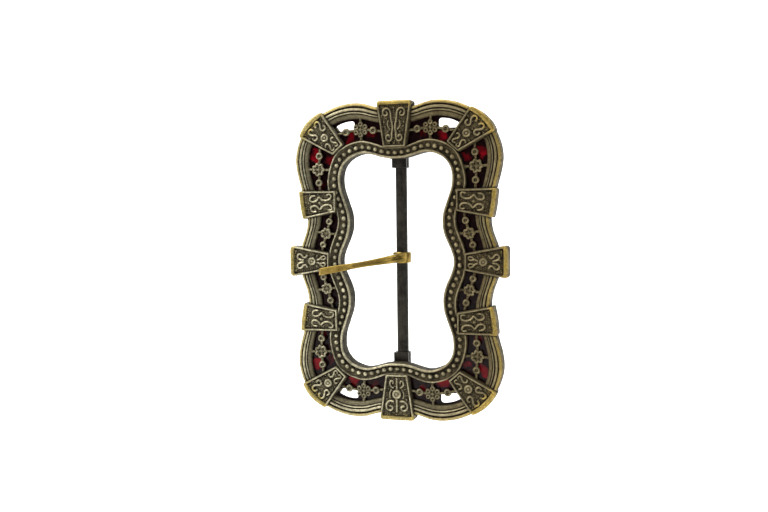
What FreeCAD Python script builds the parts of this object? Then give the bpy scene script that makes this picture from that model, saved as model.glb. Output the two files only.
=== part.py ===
import FreeCAD, Part
import os, math
import Sketcher
from FreeCAD import Vector, Rotation, Placement

# Dress belt buckle, portrait wavy-rectangle centre-bar pattern.
# Frame: X right, Z up, the wearer's front faces -Y, origin at the middle of
# the bar.  Depths are measured backwards from the plane y = front_y, the
# front face of the inner rim.

doc = FreeCAD.newDocument("belt_buckle")
sheet = doc.addObject("Spreadsheet::Sheet", "dims")
TABLE = [
    ("front_y", -8.4, "front face of the inner rim at x = 0"),
    ("block_depth", 20.0, "run of the construction extrusions"),
    ("block_start", -13.0, "y where the construction extrusions start"),
    ("plate_front", 0.9, "depth of the openwork floor"),
    ("plate_back", 2.4, "depth of the back of the openwork floor"),
    ("skirt_back", 5.6, "depth of the back edges of the walls"),
    ("rim_front", 0.15, "depth of the top of the outer rim wall"),
    ("ridge_front", 0.3, "depth of the tops of the rim reeds"),
    ("ridge_back", 1.6, "depth where the reeds and lines root"),
    ("line_front", 0.1, "depth of the top of the bead border line"),
    ("plaque_front", -0.35, "depth of the sunk field of a plaque"),
    ("plaque_back", 1.7, "depth where a plaque roots"),
    ("border_front", -0.9, "depth of the raised border of a plaque"),
    ("scroll_front", -0.8, "depth of the tops of the scrollwork"),
    ("scroll_back", 0.2, "depth where the scrollwork roots"),
    ("wrap_back", 5.0, "depth to which a plaque wraps down the side"),
    ("chain_front", 0.75, "depth of the tops of rings and flowers"),
    ("stem_front", 1.05, "depth of the tops of the stems"),
    ("chain_back", 2.1, "depth of the back of rings, flowers and stems"),
    ("liner_front", 2.45, "depth of the front of the red liner"),
    ("liner_back", 3.05, "depth of the back of the red liner"),
    ("backing_front", 3.1, "depth of the front of the back frame"),
    ("backing_back", 4.6, "depth of the back of the back frame"),
    ("bead_radius", 0.74, "radius of a bead"),
    ("bead_pitch", 2.5, "spacing of the beads along the band"),
    ("bead_depth", 0.76, "depth of the bead centres"),
    ("rivet_radius", 0.8, "rivet shank radius"),
    ("rivet_head_radius", 1.5, "rivet head radius"),
    ("rivet_head_height", 0.75, "rivet head height"),
    ("rivet_tip_depth", 0.95, "depth of the blind end of the rivet shanks"),
    ("rivet_gap", 0.03, "radial gap round a rivet shank"),
    ("bar_radius", 2.0, "centre bar radius"),
    ("bar_length", 77.6, "centre bar overall length"),
    ("bar_chamfer", 0.4, "chamfer at the bar ends"),
    ("lug_tip", 31.8, "z of the free end of a lug"),
    ("lug_socket_end", 39.0, "z of the blind end of the bar socket"),
    ("lug_socket_radius", 2.03, "radius of the bar socket"),
    ("lug_boss_radius", 2.75, "radius of the lug boss round the bar"),
    ("lug_boss_end", 42.5, "z of the far end of the boss"),
    ("lug_foot_front", -3.75, "y of the front of the lug foot"),
    ("lug_foot_back", -1.7, "y of the back of the lug foot"),
    ("lug_foot_start", 38.3, "z where the foot starts"),
    ("lug_foot_end", 46.6, "z where the foot ends"),
    ("lug_rivet_x", 3.3, "x of the lug rivets"),
    ("lug_rivet_z", 44.6, "z of the lug rivets"),
    ("prong_bore", 2.07, "radius of the bore of the prong eye"),
    ("prong_eye_radius", 3.2, "outer radius of the prong eye"),
    ("prong_eye_width", 3.8, "width of the prong eye along the bar"),
    ("prong_eye_z", 1.0, "z of the middle of the prong eye"),
    ("prong_width", 2.5, "width of the prong shank"),
    ("prong_thickness", 1.6, "thickness of the prong shank"),
    ("prong_under_y", -9.65, "y of the underside of the prong at rest"),
    ("prong_tip_x", -26.9, "x of the prong tip"),
    ("prong_set_deg", 9.7, "sideways set of the shank"),
]
VAL = {}
for i, (alias, value, note) in enumerate(TABLE):
    row = i + 1
    sheet.set("A%d" % row, note)
    sheet.set("B%d" % row, repr(value))
    sheet.setAlias("B%d" % row, alias)
    VAL[alias] = value
doc.recompute()

Y0 = VAL["front_y"]


# ---------------------------------------------------------------- outlines
# One quadrant each (x, z); mirrored to all four below.
RIM = [(0, 51.6), (4.5, 51.9), (8.0, 52.6), (11.2, 53.4), (14.8, 53.6),
       (18.6, 53.2), (22.6, 52.0), (26.4, 50.2), (29.8, 47.8), (32.6, 44.8),
       (34.6, 41.2), (35.7, 37.6), (36.0, 34.0), (35.4, 29.6), (34.2, 25.2),
       (33.0, 20.6), (32.1, 16.2), (32.1, 12.6), (32.9, 9.2), (34.1, 6.0),
       (34.9, 3.0), (35.2, 0)]
INNER = [(0, 34.75), (2.6, 34.85), (5.2, 35.35), (7.9, 36.15), (10.4, 36.65),
         (12.4, 36.5), (14.3, 35.9), (16.2, 34.9), (17.8, 33.4), (18.9, 31.6),
         (19.45, 29.4), (19.5, 27.0), (19.1, 24.4), (18.3, 22.0), (17.4, 19.4),
         (16.6, 17.0), (16.2, 14.4), (16.25, 11.6), (16.9, 8.8), (18.1, 5.9),
         (19.3, 3.1), (19.9, 0)]
BAND = [(0, 38.45), (2.4, 38.5), (4.6, 38.9), (6.8, 39.7), (9.2, 40.45),
        (11.5, 40.85), (13.8, 40.55), (16.2, 39.9), (18.3, 38.9), (20.2, 37.6),
        (21.6, 35.7), (22.7, 33.2), (23.55, 30.2), (24.0, 27.2), (23.75, 24.4),
        (22.7, 21.4), (21.4, 18.6), (20.6, 16.0), (20.45, 13.4), (21.0, 10.6),
        (22.1, 7.7), (23.2, 4.9), (23.8, 2.4), (23.95, 0)]
OPEN_TOP = ([(4.9, 39.9), (7.0, 40.65), (9.3, 41.35), (11.6, 41.75), (14.0, 41.4),
             (17.5, 40.4)],
            [(22.2, 46.9), (18.4, 48.3), (15.2, 48.6), (11.8, 48.4), (8.4, 47.6),
             (5.9, 47.0)])
OPEN_SIDE = ([(22.8, 35.9), (23.5, 33.2), (24.2, 30.3), (24.6, 27.5), (24.5, 25.1)],
             [(29.7, 25.1), (30.6, 28.6), (31.1, 32.2), (31.2, 36.0), (30.9, 40.2)])
OPEN_MID = ([(21.3, 16.0), (21.1, 13.5), (21.6, 10.8), (22.7, 7.9), (24.0, 5.0),
             (24.5, 3.6)],
            [(29.6, 4.7), (28.8, 7.6), (28.0, 10.6), (27.3, 13.2), (27.0, 14.9)])
# plaques: list of corners, first two outer, last two inner
P_CORNER = [(26.0, 51.3), (34.3, 42.9), (21.8, 36.3), (17.9, 39.8)]
P_TOP = [(-6.2, 54.2), (6.2, 54.2), (3.8, 38.6), (-3.8, 38.6)]
P_SIDE = [(34.6, 24.3), (33.2, 14.5), (21.1, 16.8), (21.1, 24.2)]
P_MID = [(38.2, 5.6), (38.2, -5.6), (23.9, -2.8), (23.9, 2.8)]
# chains: ring, flower, ring
CHAINS = [[(7.7, 44.4, 1.2), (12.2, 44.8, 2.25), (17.4, 44.1, 1.25)],
          [(27.2, 36.2, 1.2), (27.6, 31.6, 2.2), (27.4, 27.0, 1.2)],
          [(23.9, 13.7, 1.15), (25.1, 9.5, 1.9), (26.3, 5.6, 1.1)]]


def mirror_loop(q):
    a = list(q)
    loop = [(x, z) for x, z in a]
    loop += [(x, -z) for x, z in reversed(a[:-1])]
    loop += [(-x, -z) for x, z in a[1:]]
    loop += [(-x, z) for x, z in reversed(a[1:-1])]
    return loop


def loop_curve(pts):
    c = Part.BSplineCurve()
    c.interpolate(Points=[Vector(x, z, 0) for x, z in pts], PeriodicFlag=True)
    return c


def offset_loop(pts, d):
    """Points moved by d along the outward normal of a clockwise loop."""
    c = loop_curve(pts)
    n = 84
    out = []
    u0, u1 = c.FirstParameter, c.LastParameter
    for k in range(n):
        u = u0 + (u1 - u0) * k / n
        p = c.value(u)
        t = c.tangent(u)[0]
        out.append((p.x - t.y * d, p.y + t.x * d))
    return out


XZ = Placement(Vector(0, VAL["block_start"], 0), Rotation(Vector(1, 0, 0), 90))


def sketch(name, curves):
    sk = doc.addObject("Sketcher::SketchObject", name)
    for c in curves:
        sk.addGeometry(c, False)
    sk.Placement = XZ
    sk.setExpression("Placement.Base.y", "dims.block_start")
    return sk


def poly(points):
    n = len(points)
    return [Part.LineSegment(Vector(points[k][0], points[k][1], 0),
                             Vector(points[(k + 1) % n][0], points[(k + 1) % n][1], 0))
            for k in range(n)]


def extrude(name, base, length="dims.block_depth"):
    e = doc.addObject("Part::Extrusion", name)
    e.Base = base
    e.DirMode = "Custom"
    e.Dir = Vector(0, 1, 0)
    e.Solid = True
    e.setExpression("LengthFwd", length)
    return e


def layer(name, base, front, back):
    """Prism of a sketch between two depths behind the front."""
    base.setExpression("Placement.Base.y", "dims.front_y + dims.%s" % front)
    return extrude(name, base, "dims.%s - dims.%s" % (back, front))


def compound(name, items):
    c = doc.addObject("Part::Compound", name)
    c.Links = items
    return c


# ---------------------------------------------------- front casting, layers
rim = mirror_loop(RIM)
inner = mirror_loop(INNER)
band = mirror_loop(BAND)


def ring_sketch(name, outer_pts, inner_pts):
    return sketch(name, [loop_curve(outer_pts), loop_curve(inner_pts)])


plate = layer("openwork_floor", ring_sketch("floor_outline", offset_loop(rim, -0.6),
              offset_loop(inner, 0.45)), "plate_front", "plate_back")
outer_wall = layer("outer_wall", ring_sketch("outer_wall_outline", rim,
                   offset_loop(rim, -1.35)), "rim_front", "skirt_back")
reed_a = layer("rim_reed_middle", ring_sketch("rim_reed_middle_outline", offset_loop(rim, -1.9),
               offset_loop(rim, -2.6)), "ridge_front", "ridge_back")
reed_b = layer("rim_reed_inner", ring_sketch("rim_reed_inner_outline", offset_loop(rim, -3.2),
               offset_loop(rim, -3.75)), "ridge_front", "ridge_back")
inner_wall = layer("inner_wall", ring_sketch("inner_wall_outline", offset_loop(inner, 0.85),
                   inner), "rim_front", "skirt_back")
band_line = layer("bead_border_line", ring_sketch("bead_border_outline", offset_loop(band, 0.3),
                  offset_loop(band, -0.3)), "line_front", "ridge_back")


def spline_edge(points):
    c = Part.BSplineCurve()
    c.interpolate(Points=[Vector(x, z, 0) for x, z in points])
    return c


def opening_curves(two, sx, sz):
    a = [(sx * x, sz * z) for x, z in two[0]]
    b = [(sx * x, sz * z) for x, z in two[1]]
    return [spline_edge(a),
            Part.LineSegment(Vector(a[-1][0], a[-1][1], 0), Vector(b[0][0], b[0][1], 0)),
            spline_edge(b),
            Part.LineSegment(Vector(b[-1][0], b[-1][1], 0), Vector(a[0][0], a[0][1], 0))]


QUADS = [(1, 1), (-1, 1), (1, -1), (-1, -1)]
open_curves = []
for two in (OPEN_TOP, OPEN_SIDE, OPEN_MID):
    for sx, sz in QUADS:
        open_curves += opening_curves(two, sx, sz)
openings_run = extrude("openings_run", sketch("openings_outline", open_curves))

plaques = []
for sx, sz in QUADS:
    plaques.append(("corner", [(sx * x, sz * z) for x, z in P_CORNER]))
    plaques.append(("side", [(sx * x, sz * z) for x, z in P_SIDE]))
for q in (1, -1):
    plaques.append(("top", [(x, q * z) for x, z in P_TOP]))
    plaques.append(("mid", [(q * x, z) for x, z in P_MID]))


def inset(points, d):
    """Convex quadrilateral pulled in by d on every side."""
    cx = sum(p[0] for p in points) / len(points)
    cz = sum(p[1] for p in points) / len(points)
    lines = []
    n = len(points)
    for k in range(n):
        x0, z0 = points[k]
        x1, z1 = points[(k + 1) % n]
        ln = math.hypot(x1 - x0, z1 - z0)
        nx, nz = -(z1 - z0) / ln, (x1 - x0) / ln
        if (cx - x0) * nx + (cz - z0) * nz < 0:
            nx, nz = -nx, -nz
        lines.append((nx, nz, nx * x0 + nz * z0 + (d[k] if isinstance(d, list) else d)))
    out = []
    for k in range(n):
        a1, b1, c1 = lines[k - 1]
        a2, b2, c2 = lines[k]
        det = a1 * b2 - a2 * b1
        out.append(((c1 * b2 - c2 * b1) / det, (a1 * c2 - a2 * c1) / det))
    return out


def plaque_loop(kind, pts):
    """Plaque outline with a bulged outer end."""
    (x0, z0), (x1, z1) = pts[0], pts[1]
    mx, mz = (x0 + x1) / 2, (z0 + z1) / 2
    ix, iz = (pts[2][0] + pts[3][0]) / 2, (pts[2][1] + pts[3][1]) / 2
    ln = math.hypot(mx - ix, mz - iz)
    bulge = {"corner": 1.35, "side": 0.3, "top": 0.0, "mid": 0.0}[kind]
    if bulge == 0.0:
        # outer corners clipped
        cut = 1.1
        w = math.hypot(x1 - x0, z1 - z0)
        ux, uz = (x1 - x0) / w, (z1 - z0) / w
        d0 = ((pts[3][0] - x0), (pts[3][1] - z0))
        d1 = ((pts[2][0] - x1), (pts[2][1] - z1))
        n0, n1 = math.hypot(*d0), math.hypot(*d1)
        loop = [(x0 + d0[0] / n0 * cut, z0 + d0[1] / n0 * cut), (x0 + ux * cut, z0 + uz * cut),
                (x1 - ux * cut, z1 - uz * cut), (x1 + d1[0] / n1 * cut, z1 + d1[1] / n1 * cut),
                pts[2], pts[3]]
        return poly(loop)
    b = (mx + (mx - ix) / ln * bulge, mz + (mz - iz) / ln * bulge)
    arc = Part.Arc(Vector(x0, z0, 0), Vector(b[0], b[1], 0), Vector(x1, z1, 0))
    return [arc] + [Part.LineSegment(Vector(p[0], p[1], 0), Vector(q[0], q[1], 0))
                    for p, q in ((pts[1], pts[2]), (pts[2], pts[3]), (pts[3], pts[0]))]


pad_curves, border_curves = [], []
for kind, pts in plaques:
    pad_curves += plaque_loop(kind, pts)
    d_out = 1.5
    border_curves += plaque_loop(kind, pts) + poly(inset(pts, [d_out, 0.75, 0.7, 0.75]))
pads = layer("plaque_fields", sketch("plaque_outline", pad_curves), "plaque_front", "plaque_back")
borders = layer("plaque_borders", sketch("plaque_border_outline", border_curves),
                "border_front", "scroll_back")
wrap_list = []
for k, (kind, pts) in enumerate(plaques):
    (x0, z0), (x1, z1), (x2, z2), (x3, z3) = pts
    run = {"corner": 0.13, "side": 0.11, "top": 0.16, "mid": 0.24}[kind]
    q3 = (x0 + (x3 - x0) * run, z0 + (z3 - z0) * run)
    q2 = (x1 + (x2 - x1) * run, z1 + (z2 - z1) * run)
    if kind in ("corner", "side"):
        (mx, mz) = ((x0 + x1) / 2, (z0 + z1) / 2)
        ix, iz = (x2 + x3) / 2, (z2 + z3) / 2
        ln = math.hypot(mx - ix, mz - iz)
        bulge = {"corner": 1.2, "side": 0.2}[kind]
        bow = {"corner": 0.9, "side": 0.1}[kind]
        b = (mx + (mx - ix) / ln * bulge, mz + (mz - iz) / ln * bulge)
        a0 = (x0 + (x3 - x0) * 0.012, z0 + (z3 - z0) * 0.012)
        a1 = (x1 + (x2 - x1) * 0.012, z1 + (z2 - z1) * 0.012)
        e = [Part.Arc(Vector(a0[0], a0[1], 0), Vector(b[0], b[1], 0), Vector(a1[0], a1[1], 0)),
             Part.LineSegment(Vector(a1[0], a1[1], 0), Vector(q2[0], q2[1], 0)),
             # the inner line bows out with the wall, clear of the liner
             Part.Arc(Vector(q2[0], q2[1], 0),
                      Vector((q2[0] + q3[0]) / 2 + (mx - ix) / ln * bow,
                             (q2[1] + q3[1]) / 2 + (mz - iz) / ln * bow, 0),
                      Vector(q3[0], q3[1], 0)),
             Part.LineSegment(Vector(q3[0], q3[1], 0), Vector(a0[0], a0[1], 0))]
    else:
        c = 0.09 if kind == "top" else 0.11
        w0 = (x0 + (x3 - x0) * c, z0 + (z3 - z0) * c)
        w1 = (x1 + (x2 - x1) * c, z1 + (z2 - z1) * c)
        f = 0.012
        t0 = (x0 + (x1 - x0) * 0.12 + (x3 - x0) * f, z0 + (z1 - z0) * 0.12 + (z3 - z0) * f)
        t1 = (x1 - (x1 - x0) * 0.12 + (x2 - x1) * f, z1 - (z1 - z0) * 0.12 + (z2 - z1) * f)
        e = poly([w0, t0, t1, w1, q2, q3])
    wrap_list += e
wraps = layer("plaque_wraps", sketch("plaque_wrap_outline", wrap_list),
              "plaque_front", "wrap_back")

# scrollwork: a rosette and four open hooks on every plaque
scroll_curves = []


def hook(cx, cz, a_start, a_run, r_mid, half):
    a0, a1 = math.radians(a_start), math.radians(a_start + a_run)
    am = (a0 + a1) / 2
    ro, ri = r_mid + half, r_mid - half
    P = lambda r, a: Vector(cx + r * math.cos(a), cz + r * math.sin(a), 0)
    return [Part.Arc(P(ro, a0), P(ro, am), P(ro, a1)), Part.LineSegment(P(ro, a1), P(ri, a1)),
            Part.Arc(P(ri, a1), P(ri, am), P(ri, a0)), Part.LineSegment(P(ri, a0), P(ro, a0))]


for kind, pts in plaques:
    ox, oz = (pts[0][0] + pts[1][0]) / 2, (pts[0][1] + pts[1][1]) / 2
    ix, iz = (pts[2][0] + pts[3][0]) / 2, (pts[2][1] + pts[3][1]) / 2
    ln = math.hypot(ox - ix, oz - iz)
    ux, uz = (ox - ix) / ln, (oz - iz) / ln
    vx, vz = -uz, ux
    ang = math.degrees(math.atan2(uz, ux))
    rose = {"corner": 0.46, "top": 0.5, "side": 0.42, "mid": 0.46}[kind]
    rr = {"corner": 1.4, "top": 1.4, "side": 0.7, "mid": 1.4}[kind]
    c = Part.Circle(Vector(ix + ux * ln * rose, iz + uz * ln * rose, 0), Vector(0, 0, 1), rr)
    scroll_curves.append(c)
    spots = {"corner": [(0.21, 1.45, 0.8), (0.73, 2.3, 1.15)],
             "top": [(0.17, 1.75, 0.85), (0.78, 2.6, 1.15)],
             "side": [(0.24, 1.95, 0.9), (0.68, 2.15, 1.0)],
             "mid": [(0.2, 1.35, 0.75), (0.72, 2.1, 1.1)]}[kind]
    for f, off, rad in spots:
        for sgn in (1, -1):
            cx = ix + ux * ln * f + vx * off * sgn
            cz = iz + uz * ln * f + vz * off * sgn
            start = ang + (20 if sgn > 0 else 70)
            scroll_curves += hook(cx, cz, start, 270, rad, 0.24)
scrolls = layer("scrollwork", sketch("scrollwork_outline", scroll_curves),
                "scroll_front", "scroll_back")

# chains: stems, rings and flowers in the openings
stem_list, ring_curves, flower_curves = [], [], []


def strip(p, q, w):
    ln = math.hypot(q[0] - p[0], q[1] - p[1])
    nx, nz = -(q[1] - p[1]) / ln * w / 2, (q[0] - p[0]) / ln * w / 2
    return poly([(p[0] + nx, p[1] + nz), (q[0] + nx, q[1] + nz),
                 (q[0] - nx, q[1] - nz), (p[0] - nx, p[1] - nz)])


ENDS = [((4.2, 44.0), (21.6, 43.2)), ((27.0, 40.4), (27.2, 23.6)), ((23.2, 17.0), (27.0, 2.6))]
WALLS = [((12.0, 40.4), (12.3, 49.8)), ((22.9, 31.4), (32.2, 31.8)), ((21.0, 9.2), (29.6, 10.2))]
n_stem = 0
stems = []
for (c3, ends, walls) in zip(CHAINS, ENDS, WALLS):
    for sx, sz in QUADS:
        m = lambda p: (sx * p[0], sz * p[1])
        path = [ends[0], c3[0], c3[1], c3[2], ends[1]]
        cuts = []
        for k in range(4):
            cuts.append((m(path[k]), m(path[k + 1])))
        cuts.append((m(walls[0]), m(walls[1])))
        for k, (p, q) in enumerate(cuts):
            stems.append(strip(p, q, 0.8))
        for k in (0, 2):
            cx, cz = m(c3[k])
            ring_curves += [Part.Circle(Vector(cx, cz, 0), Vector(0, 0, 1), c3[k][2]),
                            Part.Circle(Vector(cx, cz, 0), Vector(0, 0, 1), c3[k][2] * 0.45)]
        cx, cz = m(c3[1])
        rad = c3[1][2]
        pts = []
        for k in range(48):
            a = 2 * math.pi * k / 48
            rr = rad * (0.83 + 0.17 * math.cos(6 * a))
            pts.append((cx + rr * math.cos(a), cz + rr * math.sin(a)))
        flower_curves.append(loop_curve(pts))
stem_sets = []
for k in range(5):
    own = []
    for j in range(12):
        own += stems[j * 5 + k]
    stem_sets.append(layer("chain_stems_%d" % (k + 1), sketch("chain_stem_outline_%d" % (k + 1), own),
                           "stem_front", "chain_back"))
rings = layer("chain_rings", sketch("chain_ring_outline", ring_curves), "chain_front", "chain_back")
flowers = layer("chain_flowers", sketch("chain_flower_outline", flower_curves),
                "chain_front", "chain_back")

# beads along the middle of the band
bead_curve_in = loop_curve(offset_loop(inner, 0.85))
bead_curve_out = loop_curve(band)


def mid_band():
    a = bead_curve_in
    n = 720
    pts = []
    for k in range(n):
        u = a.FirstParameter + (a.LastParameter - a.FirstParameter) * k / n
        p = a.value(u)
        q = bead_curve_out.value(bead_curve_out.parameter(p))
        pts.append(((p.x + q.x) / 2, (p.y + q.y) / 2))
    return pts


mids = mid_band()
lens = [0.0]
for k in range(len(mids)):
    a, b = mids[k], mids[(k + 1) % len(mids)]
    lens.append(lens[-1] + math.hypot(b[0] - a[0], b[1] - a[1]))
total = lens[-1]
count = int(round(total / VAL["bead_pitch"]))
beads = []
for k in range(count):
    target = total * (k + 0.5) / count
    j = max(i for i in range(len(mids)) if lens[i] <= target)
    f = (target - lens[j]) / (lens[j + 1] - lens[j])
    a, b = mids[j], mids[(j + 1) % len(mids)]
    x, z = a[0] + (b[0] - a[0]) * f, a[1] + (b[1] - a[1]) * f
    beads.append(Part.makeSphere(VAL["bead_radius"], Vector(x, Y0 + VAL["bead_depth"], z)))
bead_feature = doc.addObject("Part::Feature", "beads")
bead_feature.Shape = Part.makeCompound(beads)

# rivets and the holes for them
FRAME_RIVETS = []
for sx, sz in QUADS:
    FRAME_RIVETS.append((sx * 26.6, sz * 43.0))
    FRAME_RIVETS.append((sx * 27.4, sz * 19.9))
FRAME_RIVETS += [(30.5, 0.0), (-30.5, 0.0)]
LUG_RIVETS = [(sx * VAL["lug_rivet_x"], sz * VAL["lug_rivet_z"]) for sx, sz in QUADS]


def hole_set(name, spots, front_alias):
    tools = []
    for k, (x, z) in enumerate(spots):
        c = doc.addObject("Part::Cylinder", "%s_%d" % (name, k + 1))
        c.setExpression("Radius", "dims.rivet_radius + dims.rivet_gap")
        c.Height = 12.0
        c.Placement = Placement(Vector(x, Y0 + VAL[front_alias] - VAL["rivet_gap"], z),
                                Rotation(Vector(1, 0, 0), -90))
        tools.append(c)
    return compound(name, tools)


holes = hole_set("rivet_holes", FRAME_RIVETS + LUG_RIVETS, "rivet_tip_depth")

plate_cut = doc.addObject("Part::Cut", "openwork_floor_pierced")
plate_cut.Base, plate_cut.Tool = plate, openings_run

casting = doc.addObject("Part::MultiFuse", "front_casting")
casting.Shapes = [plate_cut, outer_wall, reed_a, reed_b, inner_wall, band_line, pads, borders,
                  wraps, scrolls, rings, flowers] + stem_sets + [bead_feature]
front = doc.addObject("Part::Cut", "openwork_front")
front.Base, front.Tool = casting, holes
front.Label = "openwork_front"

# ------------------------------------------------------------- red liner
LINER_OUT = offset_loop(rim, -1.5)
LINER_IN = offset_loop(inner, 1.0)


def window(sx, sz):
    """See-through slot in the liner: straight foot, rounded top at the middle
    side and a top edge that follows the rim."""
    V = lambda a, b: Vector(sx * a, sz * b, 0)
    return [Part.LineSegment(V(15.8, 44.6), V(21.7, 44.6)),
            Part.Arc(V(21.7, 44.6), V(22.35, 44.9), V(22.5, 45.5)),
            Part.Arc(V(22.5, 45.5), V(19.3, 47.25), V(15.9, 47.85)),
            Part.Arc(V(15.9, 47.85), V(15.1, 47.6), V(14.8, 46.85)),
            Part.LineSegment(V(14.8, 46.85), V(14.8, 45.6)),
            Part.Arc(V(14.8, 45.6), V(15.1, 44.9), V(15.8, 44.6))]


notch_curves = []
for sx, sz in QUADS:
    notch_curves += window(sx, sz)
notches = extrude("liner_windows", sketch("liner_window_outline", notch_curves))
liner_sheet = layer("liner_sheet", ring_sketch("liner_outline", LINER_OUT, LINER_IN),
                    "liner_front", "liner_back")
liner_cut = doc.addObject("Part::Cut", "liner_windowed")
liner_cut.Base, liner_cut.Tool = liner_sheet, notches
liner = doc.addObject("Part::Cut", "red_liner")
liner.Base, liner.Tool = liner_cut, holes
liner.Label = "red_liner"

# ------------------------------------------------------------- back frame
backing_sheet = layer("back_frame_blank", ring_sketch("back_frame_outline", LINER_OUT, LINER_IN),
                      "backing_front", "backing_back")
backing_cut = doc.addObject("Part::Cut", "back_frame_pierced")
backing_cut.Base, backing_cut.Tool = backing_sheet, openings_run
backing = doc.addObject("Part::Cut", "back_frame")
backing.Base, backing.Tool = backing_cut, holes
backing.Label = "back_frame"


# ------------------------------------------------------------- bodies
def body(label):
    b = doc.addObject("PartDesign::Body", label)
    b.Label = label
    return b


def origin_plane(b, role):
    for f in b.Origin.OriginFeatures:
        if f.Role == role:
            return f
    raise RuntimeError(role)


def body_sketch(b, name, plane, curves, offset=None):
    sk = b.newObject("Sketcher::SketchObject", name)
    sk.AttachmentSupport = (origin_plane(b, plane), [""])
    sk.MapMode = "FlatFace"
    if offset is not None:
        sk.AttachmentOffset = offset
    for c in curves:
        sk.addGeometry(c, False)
    return sk


def circle_sketch(b, name, plane, radius_expr, offset, centre=(0, 0)):
    sk = body_sketch(b, name, plane, [Part.Circle(Vector(centre[0], centre[1], 0),
                                                  Vector(0, 0, 1), 1.0)], offset)
    sk.addConstraint(Sketcher.Constraint("Radius", 0, 1.0))
    sk.setExpression("Constraints[0]", radius_expr)
    if centre == (0, 0):
        sk.addConstraint(Sketcher.Constraint("Coincident", 0, 3, -1, 1))
    return sk


# centre bar
bar = body("centre_bar")
bar_sk = circle_sketch(bar, "bar_section", "XY_Plane", "dims.bar_radius", None)
bar_pad = bar.newObject("PartDesign::Pad", "bar_length")
bar_pad.Profile = bar_sk
bar_pad.setExpression("Length", "dims.bar_length")
bar_pad.Midplane = True
doc.recompute()
ends = []
for k, e in enumerate(bar_pad.Shape.Edges):
    if e.Curve.TypeId == "Part::GeomCircle":
        ends.append("Edge%d" % (k + 1))
bar_ch = bar.newObject("PartDesign::Chamfer", "bar_end_chamfers")
bar_ch.Base = (bar_pad, ends)
bar_ch.setExpression("Size", "dims.bar_chamfer")
bar.Tip = bar_ch


# bar lugs: cast T-shaped brackets with a foot, a neck that flares into it and
# a boss with a blind socket for the bar
def make_lug(label, sz):
    b = body(label)
    tip, start, end = VAL["lug_tip"], VAL["lug_foot_start"], VAL["lug_foot_end"]
    w, f = 2.6, 5.4
    V = lambda x, z: Vector(x, sz * z, 0)
    neck = [Part.LineSegment(V(-w, tip), V(w, tip)),
            Part.LineSegment(V(w, tip), V(w, 34.4)),
            Part.Arc(V(w, 34.4), V(w + 0.75, 36.6), V(f, start)),
            Part.LineSegment(V(f, start), V(f, end)),
            Part.LineSegment(V(f, end), V(-f, end)),
            Part.LineSegment(V(-f, end), V(-f, start)),
            Part.Arc(V(-f, start), V(-w - 0.75, 36.6), V(-w, 34.4)),
            Part.LineSegment(V(-w, 34.4), V(-w, tip))]
    # XZ_Plane: sketch x = X, sketch y = Z, normal = -Y
    s1 = body_sketch(b, "neck_outline", "XZ_Plane", neck, Placement(Vector(0, 0, 2.75), Rotation()))
    p1 = b.newObject("PartDesign::Pad", "neck")
    p1.Profile = s1
    p1.Length = 0.8
    p1.Reversed = True
    s2 = body_sketch(b, "foot_outline", "XZ_Plane",
                     [Part.LineSegment(V(-f, start), V(f, start)), Part.LineSegment(V(f, start), V(f, end)),
                      Part.LineSegment(V(f, end), V(-f, end)), Part.LineSegment(V(-f, end), V(-f, start))],
                     Placement(Vector(0, 0, -VAL["lug_foot_front"]), Rotation()))
    p2 = b.newObject("PartDesign::Pad", "foot")
    p2.Profile = s2
    p2.Reversed = True
    p2.setExpression("Length", "dims.lug_foot_back - dims.lug_foot_front")
    s3 = circle_sketch(b, "boss_section", "XY_Plane", "dims.lug_boss_radius",
                       Placement(Vector(0, 0, sz * tip), Rotation()))
    s3.setExpression("AttachmentOffset.Base.z", "%d * dims.lug_tip" % sz)
    p3 = b.newObject("PartDesign::Pad", "boss")
    p3.Profile = s3
    p3.Reversed = sz < 0
    p3.setExpression("Length", "dims.lug_boss_end - dims.lug_tip")
    s4 = circle_sketch(b, "socket_section", "XY_Plane", "dims.lug_socket_radius",
                       Placement(Vector(0, 0, sz * tip), Rotation()))
    s4.setExpression("AttachmentOffset.Base.z", "%d * dims.lug_tip" % sz)
    p4 = b.newObject("PartDesign::Pocket", "bar_socket")
    p4.Profile = s4
    p4.Reversed = sz > 0
    p4.setExpression("Length", "dims.lug_socket_end - dims.lug_tip")
    s5 = body_sketch(b, "rivet_hole_centres", "XZ_Plane",
                     [Part.Circle(V(-VAL["lug_rivet_x"], VAL["lug_rivet_z"]), Vector(0, 0, 1),
                                  VAL["rivet_radius"] + VAL["rivet_gap"]),
                      Part.Circle(V(VAL["lug_rivet_x"], VAL["lug_rivet_z"]), Vector(0, 0, 1),
                                  VAL["rivet_radius"] + VAL["rivet_gap"])], None)
    p5 = b.newObject("PartDesign::Pocket", "rivet_holes")
    p5.Profile = s5
    p5.Type = "ThroughAll"
    p5.Midplane = True
    doc.recompute()
    b.Tip = p5
    return b


lug_top = make_lug("bar_lug_top", 1)
lug_bottom = make_lug("bar_lug_bottom", -1)

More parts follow.
